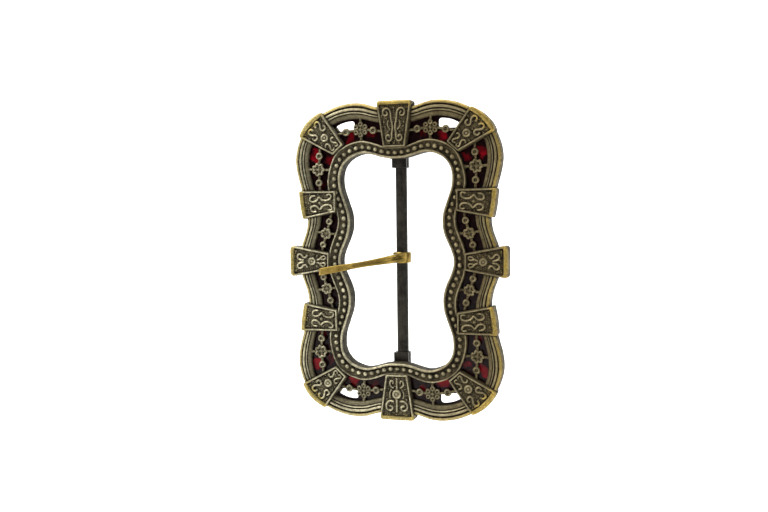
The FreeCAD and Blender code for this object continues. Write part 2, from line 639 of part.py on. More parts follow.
# prong: eye round the bar, shank rising clear of the frame, flat run out to the tip
prong = body("prong")
eye_sk = circle_sketch(prong, "eye_section", "XY_Plane", "dims.prong_eye_radius",
                       Placement(Vector(0, 0, VAL["prong_eye_z"]), Rotation()))
eye_sk.setExpression("AttachmentOffset.Base.z", "dims.prong_eye_z")
eye = prong.newObject("PartDesign::Pad", "eye")
eye.Profile = eye_sk
eye.Midplane = True
eye.setExpression("Length", "dims.prong_eye_width")
under, th = VAL["prong_under_y"], VAL["prong_thickness"]
cosd = math.cos(math.radians(VAL["prong_set_deg"]))
tipx = VAL["prong_tip_x"] / cosd
V2 = lambda x, y: Vector(x, y, 0)
top_pts = [(2.2, -1.9), (-0.2, -6.0), (-3.9, -9.2), (-8.8, -10.9), (-14.0, under - th)]
bot_pts = [(-14.0, under), (-9.4, -9.25), (-5.2, -7.6), (-2.6, -4.6), (-2.3, -1.2)]
c_top = spline_edge(top_pts)
c_bot = spline_edge(bot_pts)
shank_curves = [c_top,
                Part.LineSegment(V2(*top_pts[-1]), V2(tipx + 1.3, under - th)),
                Part.LineSegment(V2(tipx + 1.3, under - th), V2(tipx, under - th + 0.75)),
                Part.LineSegment(V2(tipx, under - th + 0.75), V2(tipx, under)),
                Part.LineSegment(V2(tipx, under), V2(*bot_pts[0])),
                c_bot,
                Part.LineSegment(V2(*bot_pts[-1]), V2(*top_pts[0]))]
shank_sk = body_sketch(prong, "shank_profile", "XY_Plane", shank_curves,
                       Placement(Vector(0, 0, VAL["prong_eye_z"]),
                                 Rotation(Vector(0, 1, 0), -VAL["prong_set_deg"])))
shank = prong.newObject("PartDesign::Pad", "shank")
shank.Profile = shank_sk
shank.Midplane = True
shank.setExpression("Length", "dims.prong_width")
bore_sk = circle_sketch(prong, "bore_section", "XY_Plane", "dims.prong_bore",
                        Placement(Vector(0, 0, VAL["prong_eye_z"]), Rotation()))
bore_sk.setExpression("AttachmentOffset.Base.z", "dims.prong_eye_z")
bore = prong.newObject("PartDesign::Pocket", "bore")
bore.Profile = bore_sk
bore.Type = "ThroughAll"
bore.Midplane = True
prong.Tip = bore


# rivets: one revolved rivet per node, repeated at every stud position
def rivet_node(label, spots, seat_alias, seat_y=None):
    b = body(label + "_pattern_piece")
    s = seat_y if seat_y is not None else None
    tip = VAL["rivet_tip_depth"]
    seat = VAL[seat_alias] if s is None else None
    length = (seat - tip) if s is None else (s - (Y0 + tip))
    r, hr, hh = VAL["rivet_radius"], VAL["rivet_head_radius"], VAL["rivet_head_height"]
    prof = [Part.LineSegment(V2(0, 0), V2(r, 0)), Part.LineSegment(V2(r, 0), V2(r, length)),
            Part.LineSegment(V2(r, length), V2(hr, length)),
            Part.LineSegment(V2(hr, length), V2(hr, length + hh * 0.35)),
            Part.LineSegment(V2(hr, length + hh * 0.35), V2(hr * 0.78, length + hh * 0.8)),
            Part.LineSegment(V2(hr * 0.78, length + hh * 0.8), V2(hr * 0.4, length + hh)),
            Part.LineSegment(V2(hr * 0.4, length + hh), V2(0, length + hh)),
            Part.LineSegment(V2(0, length + hh), V2(0, 0))]
    sk = body_sketch(b, "rivet_profile", "XY_Plane", prof, None)
    rev = b.newObject("PartDesign::Revolution", "rivet")
    rev.Profile = sk
    rev.ReferenceAxis = (sk, ["V_Axis"])
    rev.Angle = 360.0
    doc.recompute()
    b.Tip = rev
    one = b.Shape
    items = []
    for x, z in spots:
        y = Y0 + tip if s is None else Y0 + tip
        p = one.copy()
        p.Placement = Placement(Vector(x, y, z), Rotation())
        items.append(p)
    f = doc.addObject("Part::Feature", label)
    f.Shape = Part.makeCompound(items)
    f.Label = label
    return f


frame_rivets = rivet_node("frame_rivets", FRAME_RIVETS, "backing_back")
lug_rivets = rivet_node("lug_rivets", LUG_RIVETS, "backing_back", VAL["lug_foot_back"])

doc.recompute()

bad = []
for o in doc.Objects:
    st = [x for x in o.State if x in ("Invalid", "Error")]
    if st:
        bad.append("%s %s" % (o.Name, st))
if bad:
    raise RuntimeError("invalid objects: " + "; ".join(bad))

os.makedirs("parts", exist_ok=True)
NODES = [front, liner, backing, bar, lug_top, lug_bottom, prong, frame_rivets, lug_rivets]
for o in NODES:
    sh = o.Shape
    if sh.isNull() or not sh.isValid():
        raise RuntimeError("bad shape: " + o.Label)
    bb = sh.BoundBox
    print("%-16s solids %d vol %.1f  x %.2f..%.2f y %.2f..%.2f z %.2f..%.2f" % (
        o.Label, len(sh.Solids), sh.Volume, bb.XMin, bb.XMax, bb.YMin, bb.YMax, bb.ZMin, bb.ZMax))
    sh.exportStep("parts/%s.step" % o.Label)
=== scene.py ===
import bpy
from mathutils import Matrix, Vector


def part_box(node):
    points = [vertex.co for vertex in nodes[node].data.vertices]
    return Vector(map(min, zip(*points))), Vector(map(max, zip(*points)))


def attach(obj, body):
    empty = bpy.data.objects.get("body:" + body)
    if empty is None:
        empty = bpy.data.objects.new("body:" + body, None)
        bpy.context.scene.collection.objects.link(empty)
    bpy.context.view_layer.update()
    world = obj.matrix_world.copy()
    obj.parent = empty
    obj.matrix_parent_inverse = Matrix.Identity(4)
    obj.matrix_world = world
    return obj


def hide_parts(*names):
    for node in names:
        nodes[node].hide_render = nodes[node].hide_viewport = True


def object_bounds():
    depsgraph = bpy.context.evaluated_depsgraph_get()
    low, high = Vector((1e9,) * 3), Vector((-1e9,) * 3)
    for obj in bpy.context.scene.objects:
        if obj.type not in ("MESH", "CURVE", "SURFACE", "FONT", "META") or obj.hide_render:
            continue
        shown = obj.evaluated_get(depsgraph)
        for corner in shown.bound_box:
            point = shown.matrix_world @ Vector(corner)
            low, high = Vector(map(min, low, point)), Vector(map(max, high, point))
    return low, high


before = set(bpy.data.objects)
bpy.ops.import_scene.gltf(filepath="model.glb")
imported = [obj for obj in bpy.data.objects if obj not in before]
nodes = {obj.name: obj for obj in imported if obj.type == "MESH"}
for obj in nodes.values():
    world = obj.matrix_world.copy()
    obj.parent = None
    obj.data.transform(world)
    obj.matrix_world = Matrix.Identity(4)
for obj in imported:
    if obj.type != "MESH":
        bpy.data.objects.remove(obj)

import bpy
import math
import numpy as np
from mathutils import Matrix, Vector

CAD_LO, CAD_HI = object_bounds()
CAD_LO, CAD_HI = Vector(CAD_LO), Vector(CAD_HI)
MM = 0.001

# ---------------------------------------------------------------- datums (mm)
_front_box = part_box("openwork_front")
FRONT = _front_box[0].y / MM + 0.9      # front face of the inner rim
BACK = _front_box[1].y / MM             # back edges of the walls
WALL = BACK - FRONT                     # depth of the walls behind the front
TROUGH = 2.42                           # the liner lies just behind this depth

# Outlines, one quadrant each, (x, z) in mm
RIM_OUT = [(0, 51.7), (4.5, 51.95), (8.0, 52.7), (11.2, 53.65), (14.8, 54.0),
           (18.6, 53.6), (22.6, 52.45), (26.4, 50.6), (29.8, 48.1), (32.7, 45.0),
           (34.7, 41.3), (35.8, 37.6), (36.1, 34.0), (35.4, 29.6), (34.2, 25.2),
           (33.0, 20.6), (32.1, 16.2), (32.1, 12.6), (32.9, 9.2), (34.1, 6.0),
           (34.9, 3.0), (35.2, 0)]
RIM_IN = [(0, 46.7), (4.2, 46.8), (7.6, 47.3), (10.6, 48.1), (13.9, 48.55),
          (17.2, 48.4), (20.4, 47.6), (23.4, 46.3), (26.2, 44.6), (28.6, 42.6),
          (30.3, 40.0), (31.1, 37.0), (31.3, 33.8), (30.8, 29.8), (29.8, 25.6),
          (28.3, 20.8), (27.2, 16.6), (27.3, 13.2), (28.2, 10.0), (29.3, 6.4),
          (30.0, 3.2), (30.3, 0)]
INNER = [(0, 34.75), (2.6, 34.85), (5.2, 35.35), (7.9, 36.15), (10.4, 36.65),
         (12.4, 36.5), (14.3, 35.9), (16.2, 34.9), (17.8, 33.4), (18.9, 31.6),
         (19.45, 29.4), (19.5, 27.0), (19.1, 24.4), (18.3, 22.0), (17.4, 19.4),
         (16.6, 17.0), (16.2, 14.4), (16.25, 11.6), (16.9, 8.8), (18.1, 5.9),
         (19.3, 3.1), (19.9, 0)]
BAND = [(0, 38.7), (2.4, 38.75), (4.6, 39.15), (6.8, 39.95), (9.2, 40.7),
        (11.5, 41.1), (13.8, 40.8), (16.3, 40.15), (18.5, 39.1), (20.4, 37.8),
        (21.8, 35.9), (22.95, 33.3), (23.8, 30.3), (24.25, 27.2), (24.0, 24.3),
        (22.9, 21.2), (21.6, 18.4), (20.85, 16.0), (20.7, 13.4), (21.25, 10.7),
        (22.35, 7.8), (23.45, 5.0), (24.0, 2.5), (24.2, 0)]
P_CORNER = [(26.0, 51.3), (34.3, 42.9), (21.8, 36.3), (17.9, 39.8)]
P_TOP = [(-6.2, 54.2), (6.2, 54.2), (3.9, 38.45), (-3.9, 38.45)]
P_SIDE = [(34.6, 24.3), (33.2, 14.5), (21.0, 16.8), (21.0, 24.2)]
P_MID = [(38.2, 5.6), (38.2, -5.6), (23.7, -2.9), (23.7, 2.9)]
CHAINS = [[(7.7, 44.4, 1.25), (12.2, 44.8, 2.65), (17.4, 44.1, 1.3)],
          [(27.2, 36.2, 1.25), (27.6, 31.6, 2.4), (27.4, 27.0, 1.25)],
          [(23.9, 13.7, 1.2), (25.1, 9.5, 2.1), (26.3, 5.6, 1.15)]]
ENDS = [((4.2, 44.0), (21.6, 43.2)), ((27.0, 40.4), (27.2, 23.6)), ((23.2, 17.0), (27.0, 2.6))]
WALLS = [((12.0, 40.6), (12.3, 49.4)), ((23.2, 31.4), (31.9, 31.8)), ((21.4, 9.2), (29.3, 10.2))]
QUADS = [(1, 1), (-1, 1), (1, -1), (-1, -1)]


# ---------------------------------------------------------------- curve tools
def mirror_loop(q):
    a = list(q)
    return (a + [(x, -z) for x, z in reversed(a[:-1])] + [(-x, -z) for x, z in a[1:]]
            + [(-x, z) for x, z in reversed(a[1:-1])])


def closed_spline(points, n):
    """n points of the periodic cubic through the points, even in index."""
    p = np.array(points, float)
    m = len(p)
    a = np.zeros((m, m))
    for i in range(m):
        a[i, i] = 4.0
        a[i, (i - 1) % m] = a[i, (i + 1) % m] = 1.0
    rhs = 3.0 * (np.roll(p, -1, 0) - np.roll(p, 1, 0))
    d = np.linalg.solve(a, rhs)
    t = np.arange(n) * m / n
    i = np.floor(t).astype(int) % m
    f = (t - np.floor(t))[:, None]
    p0, p1, d0, d1 = p[i], p[(i + 1) % m], d[i], d[(i + 1) % m]
    return (p0 * (1 + 2 * f) * (1 - f) ** 2 + d0 * f * (1 - f) ** 2
            + p1 * f * f * (3 - 2 * f) + d1 * f * f * (f - 1))


def open_spline(points, n):
    p = np.array(points, float)
    m = len(p)
    if m == 2:
        t = np.linspace(0, 1, n)[:, None]
        return p[0] * (1 - t) + p[1] * t
    seg = np.maximum(np.linalg.norm(np.diff(p, axis=0), axis=1), 1e-6) ** 0.5
    k = np.concatenate([[0], np.cumsum(seg)])
    # natural cubic spline over the knots k
    h = np.diff(k)
    a = np.zeros((m, m))
    r = np.zeros((m, p.shape[1]))
    a[0, 0] = a[-1, -1] = 1.0
    for i in range(1, m - 1):
        a[i, i - 1], a[i, i], a[i, i + 1] = h[i - 1], 2 * (h[i - 1] + h[i]), h[i]
        r[i] = 6 * ((p[i + 1] - p[i]) / h[i] - (p[i] - p[i - 1]) / h[i - 1])
    c = np.linalg.solve(a, r)
    t = np.linspace(0, k[-1], n)
    i = np.clip(np.searchsorted(k, t, side="right") - 1, 0, m - 2)
    hh = h[i][:, None]
    u = (t - k[i])[:, None]
    v = hh - u
    return (c[i] * v ** 3 / (6 * hh) + c[i + 1] * u ** 3 / (6 * hh)
            + (p[i] / hh - c[i] * hh / 6) * v + (p[i + 1] / hh - c[i + 1] * hh / 6) * u)


def even(points, n, closed=True):
    """The polyline resampled at n equal steps."""
    p = np.array(points, float)
    q = np.vstack([p, p[:1]]) if closed else p
    lens = np.concatenate([[0], np.cumsum(np.linalg.norm(np.diff(q, axis=0), axis=1))])
    t = np.linspace(0, lens[-1], n, endpoint=not closed)
    return np.stack([np.interp(t, lens, q[:, k]) for k in range(q.shape[1])], 1)


def normals(loop):
    """Outward normals of a clockwise closed loop."""
    t = np.roll(loop, -1, 0) - np.roll(loop, 1, 0)
    t /= np.linalg.norm(t, axis=1)[:, None]
    return np.stack([-t[:, 1], t[:, 0]], 1)


def ray_to(points, dirs, loop):
    """Where each ray first meets the closed loop."""
    a, b = loop, np.roll(loop, -1, 0)
    e = b - a
    out = []
    for p, d in zip(points, dirs):
        w = a - p
        den = d[0] * e[:, 1] - d[1] * e[:, 0]
        den = np.where(np.abs(den) < 1e-9, 1e-9, den)
        t = (w[:, 0] * e[:, 1] - w[:, 1] * e[:, 0]) / den
        s = (w[:, 0] * d[1] - w[:, 1] * d[0]) / den
        ok = (t > 0.2) & (s >= -1e-6) & (s <= 1 + 1e-6)
        out.append(p + d * (t[ok].min() if ok.any() else 3.9))
    return np.array(out)


# ---------------------------------------------------------------- mesh tools
class Soup:
    """Vertices in mm (x, y, z) and faces, gathered into one mesh."""

    def __init__(self):
        self.v, self.f, self.n = [], [], 0

    def add(self, verts, faces):
        verts = np.asarray(verts, float)
        self.v.append(verts)
        self.f += [tuple(int(i) + self.n for i in f) for f in faces]
        self.n += len(verts)

    def make(self, name, rough=0.0, keep=None):
        v = np.vstack(self.v)
        if rough:
            v = v + lumps(v) * rough
        if keep is not None:
            v = np.clip(v, keep[0], keep[1])
        me = bpy.data.meshes.new(name)
        me.from_pydata((v * MM).tolist(), [], self.f)
        me.validate()
        me.update()
        import bmesh
        bm = bmesh.new()
        bm.from_mesh(me)
        bmesh.ops.recalc_face_normals(bm, faces=bm.faces)
        bm.to_mesh(me)
        bm.free()
        o = bpy.data.objects.new(name, me)
        bpy.context.scene.collection.objects.link(o)
        return o


_RS = np.random.RandomState(7)
_WAVES = [(_RS.normal(size=3) * s, _RS.uniform(0, 6.28, 3)) for s in (0.9, 0.9, 1.5, 1.5, 2.4, 2.4, 3.4, 3.4)]


def lumps(v):
    """Smooth pseudo-random casting unevenness, about +-1."""
    out = np.zeros_like(v)
    for k, ph in _WAVES:
        arg = v @ k
        for c in range(3):
            out[:, c] += np.sin(arg + ph[c] + 1.3 * np.sin(arg * 0.37 + ph[(c + 1) % 3]))
    return out / 4.0


def at(xz, s):
    """(x, z) and depth s behind the front, to x, y, z."""
    xz = np.asarray(xz, float)
    s = np.broadcast_to(np.asarray(s, float), xz.shape[:-1])
    return np.stack([xz[..., 0], FRONT + s, xz[..., 1]], -1)


def ring_loft(soup, a, b, profile):
    """Closed ring between loops a and b.  profile: (u, d, s), the point at
    u of the way from a to b and d mm further on, at depth s."""
    n, m = len(a), len(profile)
    d = (b - a) / np.linalg.norm(b - a, axis=1)[:, None]
    rows = [at(a + (b - a) * u + d * e, s) for u, e, s in profile]
    v = np.concatenate(rows)
    f = []
    for j in range(m):
        j2 = (j + 1) % m
        for i in range(n):
            i2 = (i + 1) % n
            f.append((j * n + i, j * n + i2, j2 * n + i2, j2 * n + i))
    soup.add(v, f)


def stack_loops(soup, loops, cap_a=True, cap_b=True):
    n = len(loops[0])
    v = [np.asarray(l) for l in loops]
    f = []
    for j in range(len(loops) - 1):
        for i in range(n):
            i2 = (i + 1) % n
            f.append((j * n + i, j * n + i2, (j + 1) * n + i2, (j + 1) * n + i))
    count = n * len(loops)
    for cap, j in ((cap_a, 0), (cap_b, len(loops) - 1)):
        if cap:
            v.append(np.asarray(loops[j]).mean(0)[None])
            for i in range(n):
                f.append((j * n + i, j * n + (i + 1) % n, count))
            count += 1
    soup.add(np.vstack(v), f)


def lathe(soup, cx, cz, profile, n=20, sx=1.0, sz=1.0, turn=0.0):
    """Solid of revolution about the front's normal; profile (r, s) from front
    centre to back centre, without the two centre points' radius."""
    loops = []
    for r, s in profile[1:-1]:
        t = np.arange(n) * 2 * math.pi / n + turn
        loops.append(at(np.stack([cx + r * sx * np.cos(t), cz + r * sz * np.sin(t)], 1), s))
    v = np.vstack(loops + [at([[cx, cz]], profile[0][1]), at([[cx, cz]], profile[-1][1])])
    m = len(loops)
    f = []
    for j in range(m - 1):
        for i in range(n):
            i2 = (i + 1) % n
            f.append((j * n + i, j * n + i2, (j + 1) * n + i2, (j + 1) * n + i))
    for i in range(n):
        f.append((i, (i + 1) % n, m * n))
        f.append(((m - 1) * n + (i + 1) % n, (m - 1) * n + i, m * n + 1))
    soup.add(v, f)


def dome(r, top, foot, steps=6, sink=0.5):
    """Profile of a half ball of radius r whose crown is at depth top."""
    p = [(0.0, top)]
    for k in range(1, steps + 1):
        a = math.pi / 2 * k / steps
        p.append((r * math.sin(a), top + r * (1 - math.cos(a))))
    p.append((r * 0.97, foot))
    p.append((0.0, foot))
    return p


def tube(soup, path, r, s, closed=False, n=9, flat=1.0, ball=1.0, taper=0.0):
    """Round bead line along a flat path at depth s; flat scales its height."""
    p = np.asarray(path, float)
    m = len(p)
    if closed:
        t = np.roll(p, -1, 0) - np.roll(p, 1, 0)
    else:
        t = np.gradient(p, axis=0)
    t /= np.linalg.norm(t, axis=1)[:, None]
    nn = np.stack([-t[:, 1], t[:, 0]], 1)
    ang = np.arange(n) * 2 * math.pi / n
    s = np.broadcast_to(np.asarray(s, float), (m,))
    f = []
    if closed:
        loops = []
        for i in range(m):
            xz = p[i] + nn[i] * (r * np.cos(ang))[:, None]
            loops.append(at(xz, s[i] - r * flat * np.sin(ang)))
        for i in range(m):
            i2 = (i + 1) % m
            for j in range(n):
                j2 = (j + 1) % n
                f.append((i * n + j, i2 * n + j, i2 * n + j2, i * n + j2))
        soup.add(np.vstack(loops), f)
        return
    loops = []
    q = np.linspace(0, 1, m)
    rad = r * (1 - taper * (2 * np.abs(q - 0.5)) ** 2)
    # rounded ends, a little fuller than the line
    for end, sign in ((0, -1), (m - 1, 1)):
        pass
    head, tail = [], []
    rb = rad[0] * ball
    for k in (0.35, 0.8):
        ca, sa = math.cos(math.pi / 2 * (1 - k)), math.sin(math.pi / 2 * (1 - k))
        head.append((p[0] - t[0] * rb * sa, nn[0], rb * ca, s[0]))
    rb = rad[-1] * ball
    for k in (0.8, 0.35):
        ca, sa = math.cos(math.pi / 2 * (1 - k)), math.sin(math.pi / 2 * (1 - k))
        tail.append((p[-1] + t[-1] * rb * sa, nn[-1], rb * ca, s[-1]))
    rows = head + [(p[i], nn[i], rad[i], s[i]) for i in range(m)] + tail
    for c, w, rr, ss in rows:
        xz = c + w * (rr * np.cos(ang))[:, None]
        loops.append(at(xz, ss - rr * flat * np.sin(ang)))
    stack_loops(soup, loops)


def offset_lines(points, d):
    """Convex quadrilateral pulled in by d[k] on side k."""
    p = [np.array(q, float) for q in points]
    c = sum(p) / len(p)
    lines = []
    for k in range(len(p)):
        e = p[(k + 1) % len(p)] - p[k]
        nrm = np.array([-e[1], e[0]]) / np.linalg.norm(e)
        if np.dot(c - p[k], nrm) < 0:
            nrm = -nrm
        lines.append((nrm, np.dot(nrm, p[k]) + d[k]))
    out = []
    for k in range(len(p)):
        (n1, c1), (n2, c2) = lines[k - 1], lines[k]
        out.append(np.linalg.solve(np.array([n1, n2]), np.array([c1, c2])))
    return out


def rounded(points, radii, sub, arc=4):
    """Polygon with rounded corners, always the same number of points."""
    out = []
    m = len(points)
    ends = []
    for k in range(m):
        p, a, b = points[k], points[k - 1], points[(k + 1) % m]
        u, v = (a - p) / np.linalg.norm(a - p), (b - p) / np.linalg.norm(b - p)
        half = math.acos(max(-1, min(1, float(np.dot(u, v))))) / 2
        r = max(radii[k], 0.03)
        cut = min(r / math.tan(half), 0.45 * np.linalg.norm(a - p), 0.45 * np.linalg.norm(b - p))
        p0, p1 = p + u * cut, p + v * cut
        pts = []
        for j in range(arc + 1):
            t = j / arc
            pts.append(p0 * (1 - t) ** 2 + p * 2 * t * (1 - t) * 0.92 + p * 0.08 * 2 * t * (1 - t) + p1 * t * t)
        ends.append(pts)
    for k in range(m):
        out += ends[k]
        nxt = ends[(k + 1) % m][0]
        last = ends[k][-1]
        for j in range(1, sub[k]):
            out.append(last + (nxt - last) * j / sub[k])
    return np.array(out)


class Plaque:
    BULGE = {"corner": 1.3, "side": 0.28, "top": 0.0, "mid": 0.0}
    ROUND = {"corner": 0.7, "side": 0.5, "top": 1.2, "mid": 1.6}

    def __init__(self, kind, pts, style):
        self.kind, self.pts, self.style = kind, [np.array(p, float) for p in pts], style
        self.out = (self.pts[0] + self.pts[1]) / 2
        self.inn = (self.pts[2] + self.pts[3]) / 2
        self.len = np.linalg.norm(self.out - self.inn)
        self.u = (self.out - self.inn) / self.len
        self.v = np.array([-self.u[1], self.u[0]])
        self.w1 = np.linalg.norm(self.pts[0] - self.pts[1]) / 2

    def warp(self, xz):
        d = xz - self.inn
        a, b = d @ self.u, d @ self.v
        t = np.clip(a / self.len, 0, 1.1)
        push = self.BULGE[self.kind] * (1 - np.clip(np.abs(b) / self.w1, 0, 1) ** 2) * t ** 3
        return xz + self.u * push[:, None]

    def loop(self, d_out, d_side, d_in, shrink=0.0):
        q = offset_lines(self.pts, [d_out, d_side, d_in, d_side])
        ro = max(self.ROUND[self.kind] - d_out * 0.6, 0.12)
        ri = max(0.5 - d_side * 0.4, 0.12)
        return self.warp(rounded(q, [ro, ro, ri, ri], [12, 9, 6, 9]))

    def where(self, a, b):
        p = self.inn + self.u * a + self.v * b
        return self.warp(p[None])[0]


# ---------------------------------------------------------------- the casting
N = 400
rim_a = closed_spline(mirror_loop(RIM_OUT), N)
rim_b = closed_spline(mirror_loop(RIM_IN), N)
inner = even(closed_spline(mirror_loop(INNER), 1600), N)
band = closed_spline(mirror_loop(BAND), 1600)
inner_n = normals(inner)
band_at = ray_to(inner, inner_n, band)
# smooth the matched loop a little so that narrow places stay even
for _ in range(3):
    band_at = (np.roll(band_at, 1, 0) + 2 * band_at + np.roll(band_at, -1, 0)) / 4

base = Soup()
# outer rim: three reeds and a plain inner slope, u runs from outside in
RW = 1.28
ring_loft(base, rim_a, rim_b, [
    (0, 0.22, WALL), (0, 0.02, WALL - 0.3), (0, 0.0, 2.6), (0, 0.02, 1.8), (0, 0.08, 1.25),
    (0, 0.2, 0.78), (0, 0.4, 0.42), (0, 0.68, 0.25), (0, 0.98, 0.24), (0, 1.2, 0.42), (0, 1.34, 0.74),
    (0.286, 0, 1.08), (0.305, 0, 0.84), (0.335, 0, 0.44), (0.375, 0, 0.26), (0.42, 0, 0.21), (0.465, 0, 0.28),
    (0.505, 0, 0.48), (0.53, 0, 0.84), (0.545, 0, 1.04), (0.56, 0, 0.82), (0.585, 0, 0.42), (0.628, 0, 0.26),
    (0.672, 0, 0.42), (0.693, 0, 0.78), (0.712, 0, 0.98), (0.742, 0, 0.74), (0.85, 0, 0.74), (0.93, 0, 0.9),
    (0.98, 0, 1.15), (1.0, 0, 1.5), (1.0, 0, 2.2),
    (0.99, 0, TROUGH), (0, RW + 0.1, TROUGH), (0, RW, TROUGH + 0.15), (0, RW - 0.05, WALL - 0.25),
    (0, RW - 0.25, WALL)])
# bead band between its border line and the bright inner rim
ring_loft(base, band_at, inner, [
    (0, 0.0, TROUGH), (0, 0.0, 1.3), (0, 0.05, 0.55), (0, 0.15, 0.2), (0, 0.33, 0.08), (0, 0.52, 0.14),
    (0, 0.67, 0.44), (0, 0.76, 0.82), (0.3, 0, 0.94), (0.5, 0, 0.97), (0.68, 0, 0.94), (1, -0.98, 0.82),
    (1, -0.9, 0.6), (1, -0.8, 0.2), (1, -0.64, 0.0), (1, -0.44, -0.04), (1, -0.24, 0.02), (1, -0.09, 0.2),
    (1, -0.02, 0.5), (1, 0.0, 1.0), (1, 0.0, WALL - 0.35), (1, -0.12, WALL - 0.08), (1, -0.3, WALL),
    (1, -0.6, WALL), (1, -0.78, WALL - 0.2), (1, -0.82, TROUGH + 0.1), (1, -0.95, TROUGH)])

plaques = []
for sx, sz in QUADS:
    plaques.append(Plaque("corner", [(sx * x, sz * z) for x, z in P_CORNER], "corner"))
    plaques.append(Plaque("side", [(sx * x, sz * z) for x, z in P_SIDE], "side"))
plaques.append(Plaque("top", P_TOP, "lyre"))
plaques.append(Plaque("top", [(x, -z) for x, z in P_TOP], "fleur"))
plaques.append(Plaque("mid", P_MID, "mid"))
plaques.append(Plaque("mid", [(-x, z) for x, z in P_MID], "mid"))

bodies, wraps = Soup(), Soup()
FIELD = 0.04
for p in plaques:
    rows = [(0.0, 0.0, 0.0, TROUGH), (0.0, 0.0, 0.0, 0.9), (0.02, 0.015, 0.015, 0.2), (0.08, 0.05, 0.05, -0.35),
            (0.22, 0.13, 0.12, -0.68), (0.5, 0.27, 0.25, -0.85), (0.9, 0.46, 0.43, -0.88),
            (1.24, 0.62, 0.58, -0.82), (1.44, 0.74, 0.69, -0.58), (1.54, 0.82, 0.77, -0.2),
            (1.62, 0.89, 0.84, FIELD + 0.02), (1.8, 1.06, 1.0, FIELD), (2.6, 1.55, 1.6, FIELD - 0.05),
            (3.6, 2.1, 3.2, FIELD - 0.08)]
    stack_loops(bodies, [at(p.loop(a, b, c), s) for a, b, c, s in rows])
    # the outer end turned down over the wall
    keep = {"corner": 1.9, "side": 1.6, "top": 2.9, "mid": 3.6}[p.kind]
    q = offset_lines(p.pts, [0.0, 0.0, p.len - keep, 0.0])
    q2 = offset_lines(p.pts, [0.22, 0.12, p.len - keep, 0.12])
    ro = p.ROUND[p.kind]
    lo = p.warp(rounded(q, [ro, ro, 0.1, 0.1], [12, 4, 6, 4]))
    lo2 = p.warp(rounded(q2, [ro, ro, 0.1, 0.1], [12, 4, 6, 4]))
    cx = lo.mean(0)
    tight = cx + (lo - cx) * 0.985
    stack_loops(wraps, [at(tight, 0.3), at(lo * 0.9995 + cx * 0.0005, 0.7), at(lo, WALL - 1.0), at(lo2, WALL - 0.6)])

beads = Soup()
mid = even((inner + (inner - band_at) * -0.5), 2000)
mid_len = np.linalg.norm(np.roll(mid, -1, 0) - mid, axis=1).sum()
n_beads = int(round(mid_len / 2.36))
spots = even(mid, n_beads)
for k, (x, z) in enumerate(spots):
    r = 0.84 + 0.05 * math.sin(k * 2.3)
    lathe(beads, x, z, dome(r, 0.04 + 0.07 * math.sin(k * 1.7), 1.6), n=16, sx=1 + 0.05 * math.sin(k * 3.1),
          sz=1 + 0.05 * math.cos(k * 4.3))

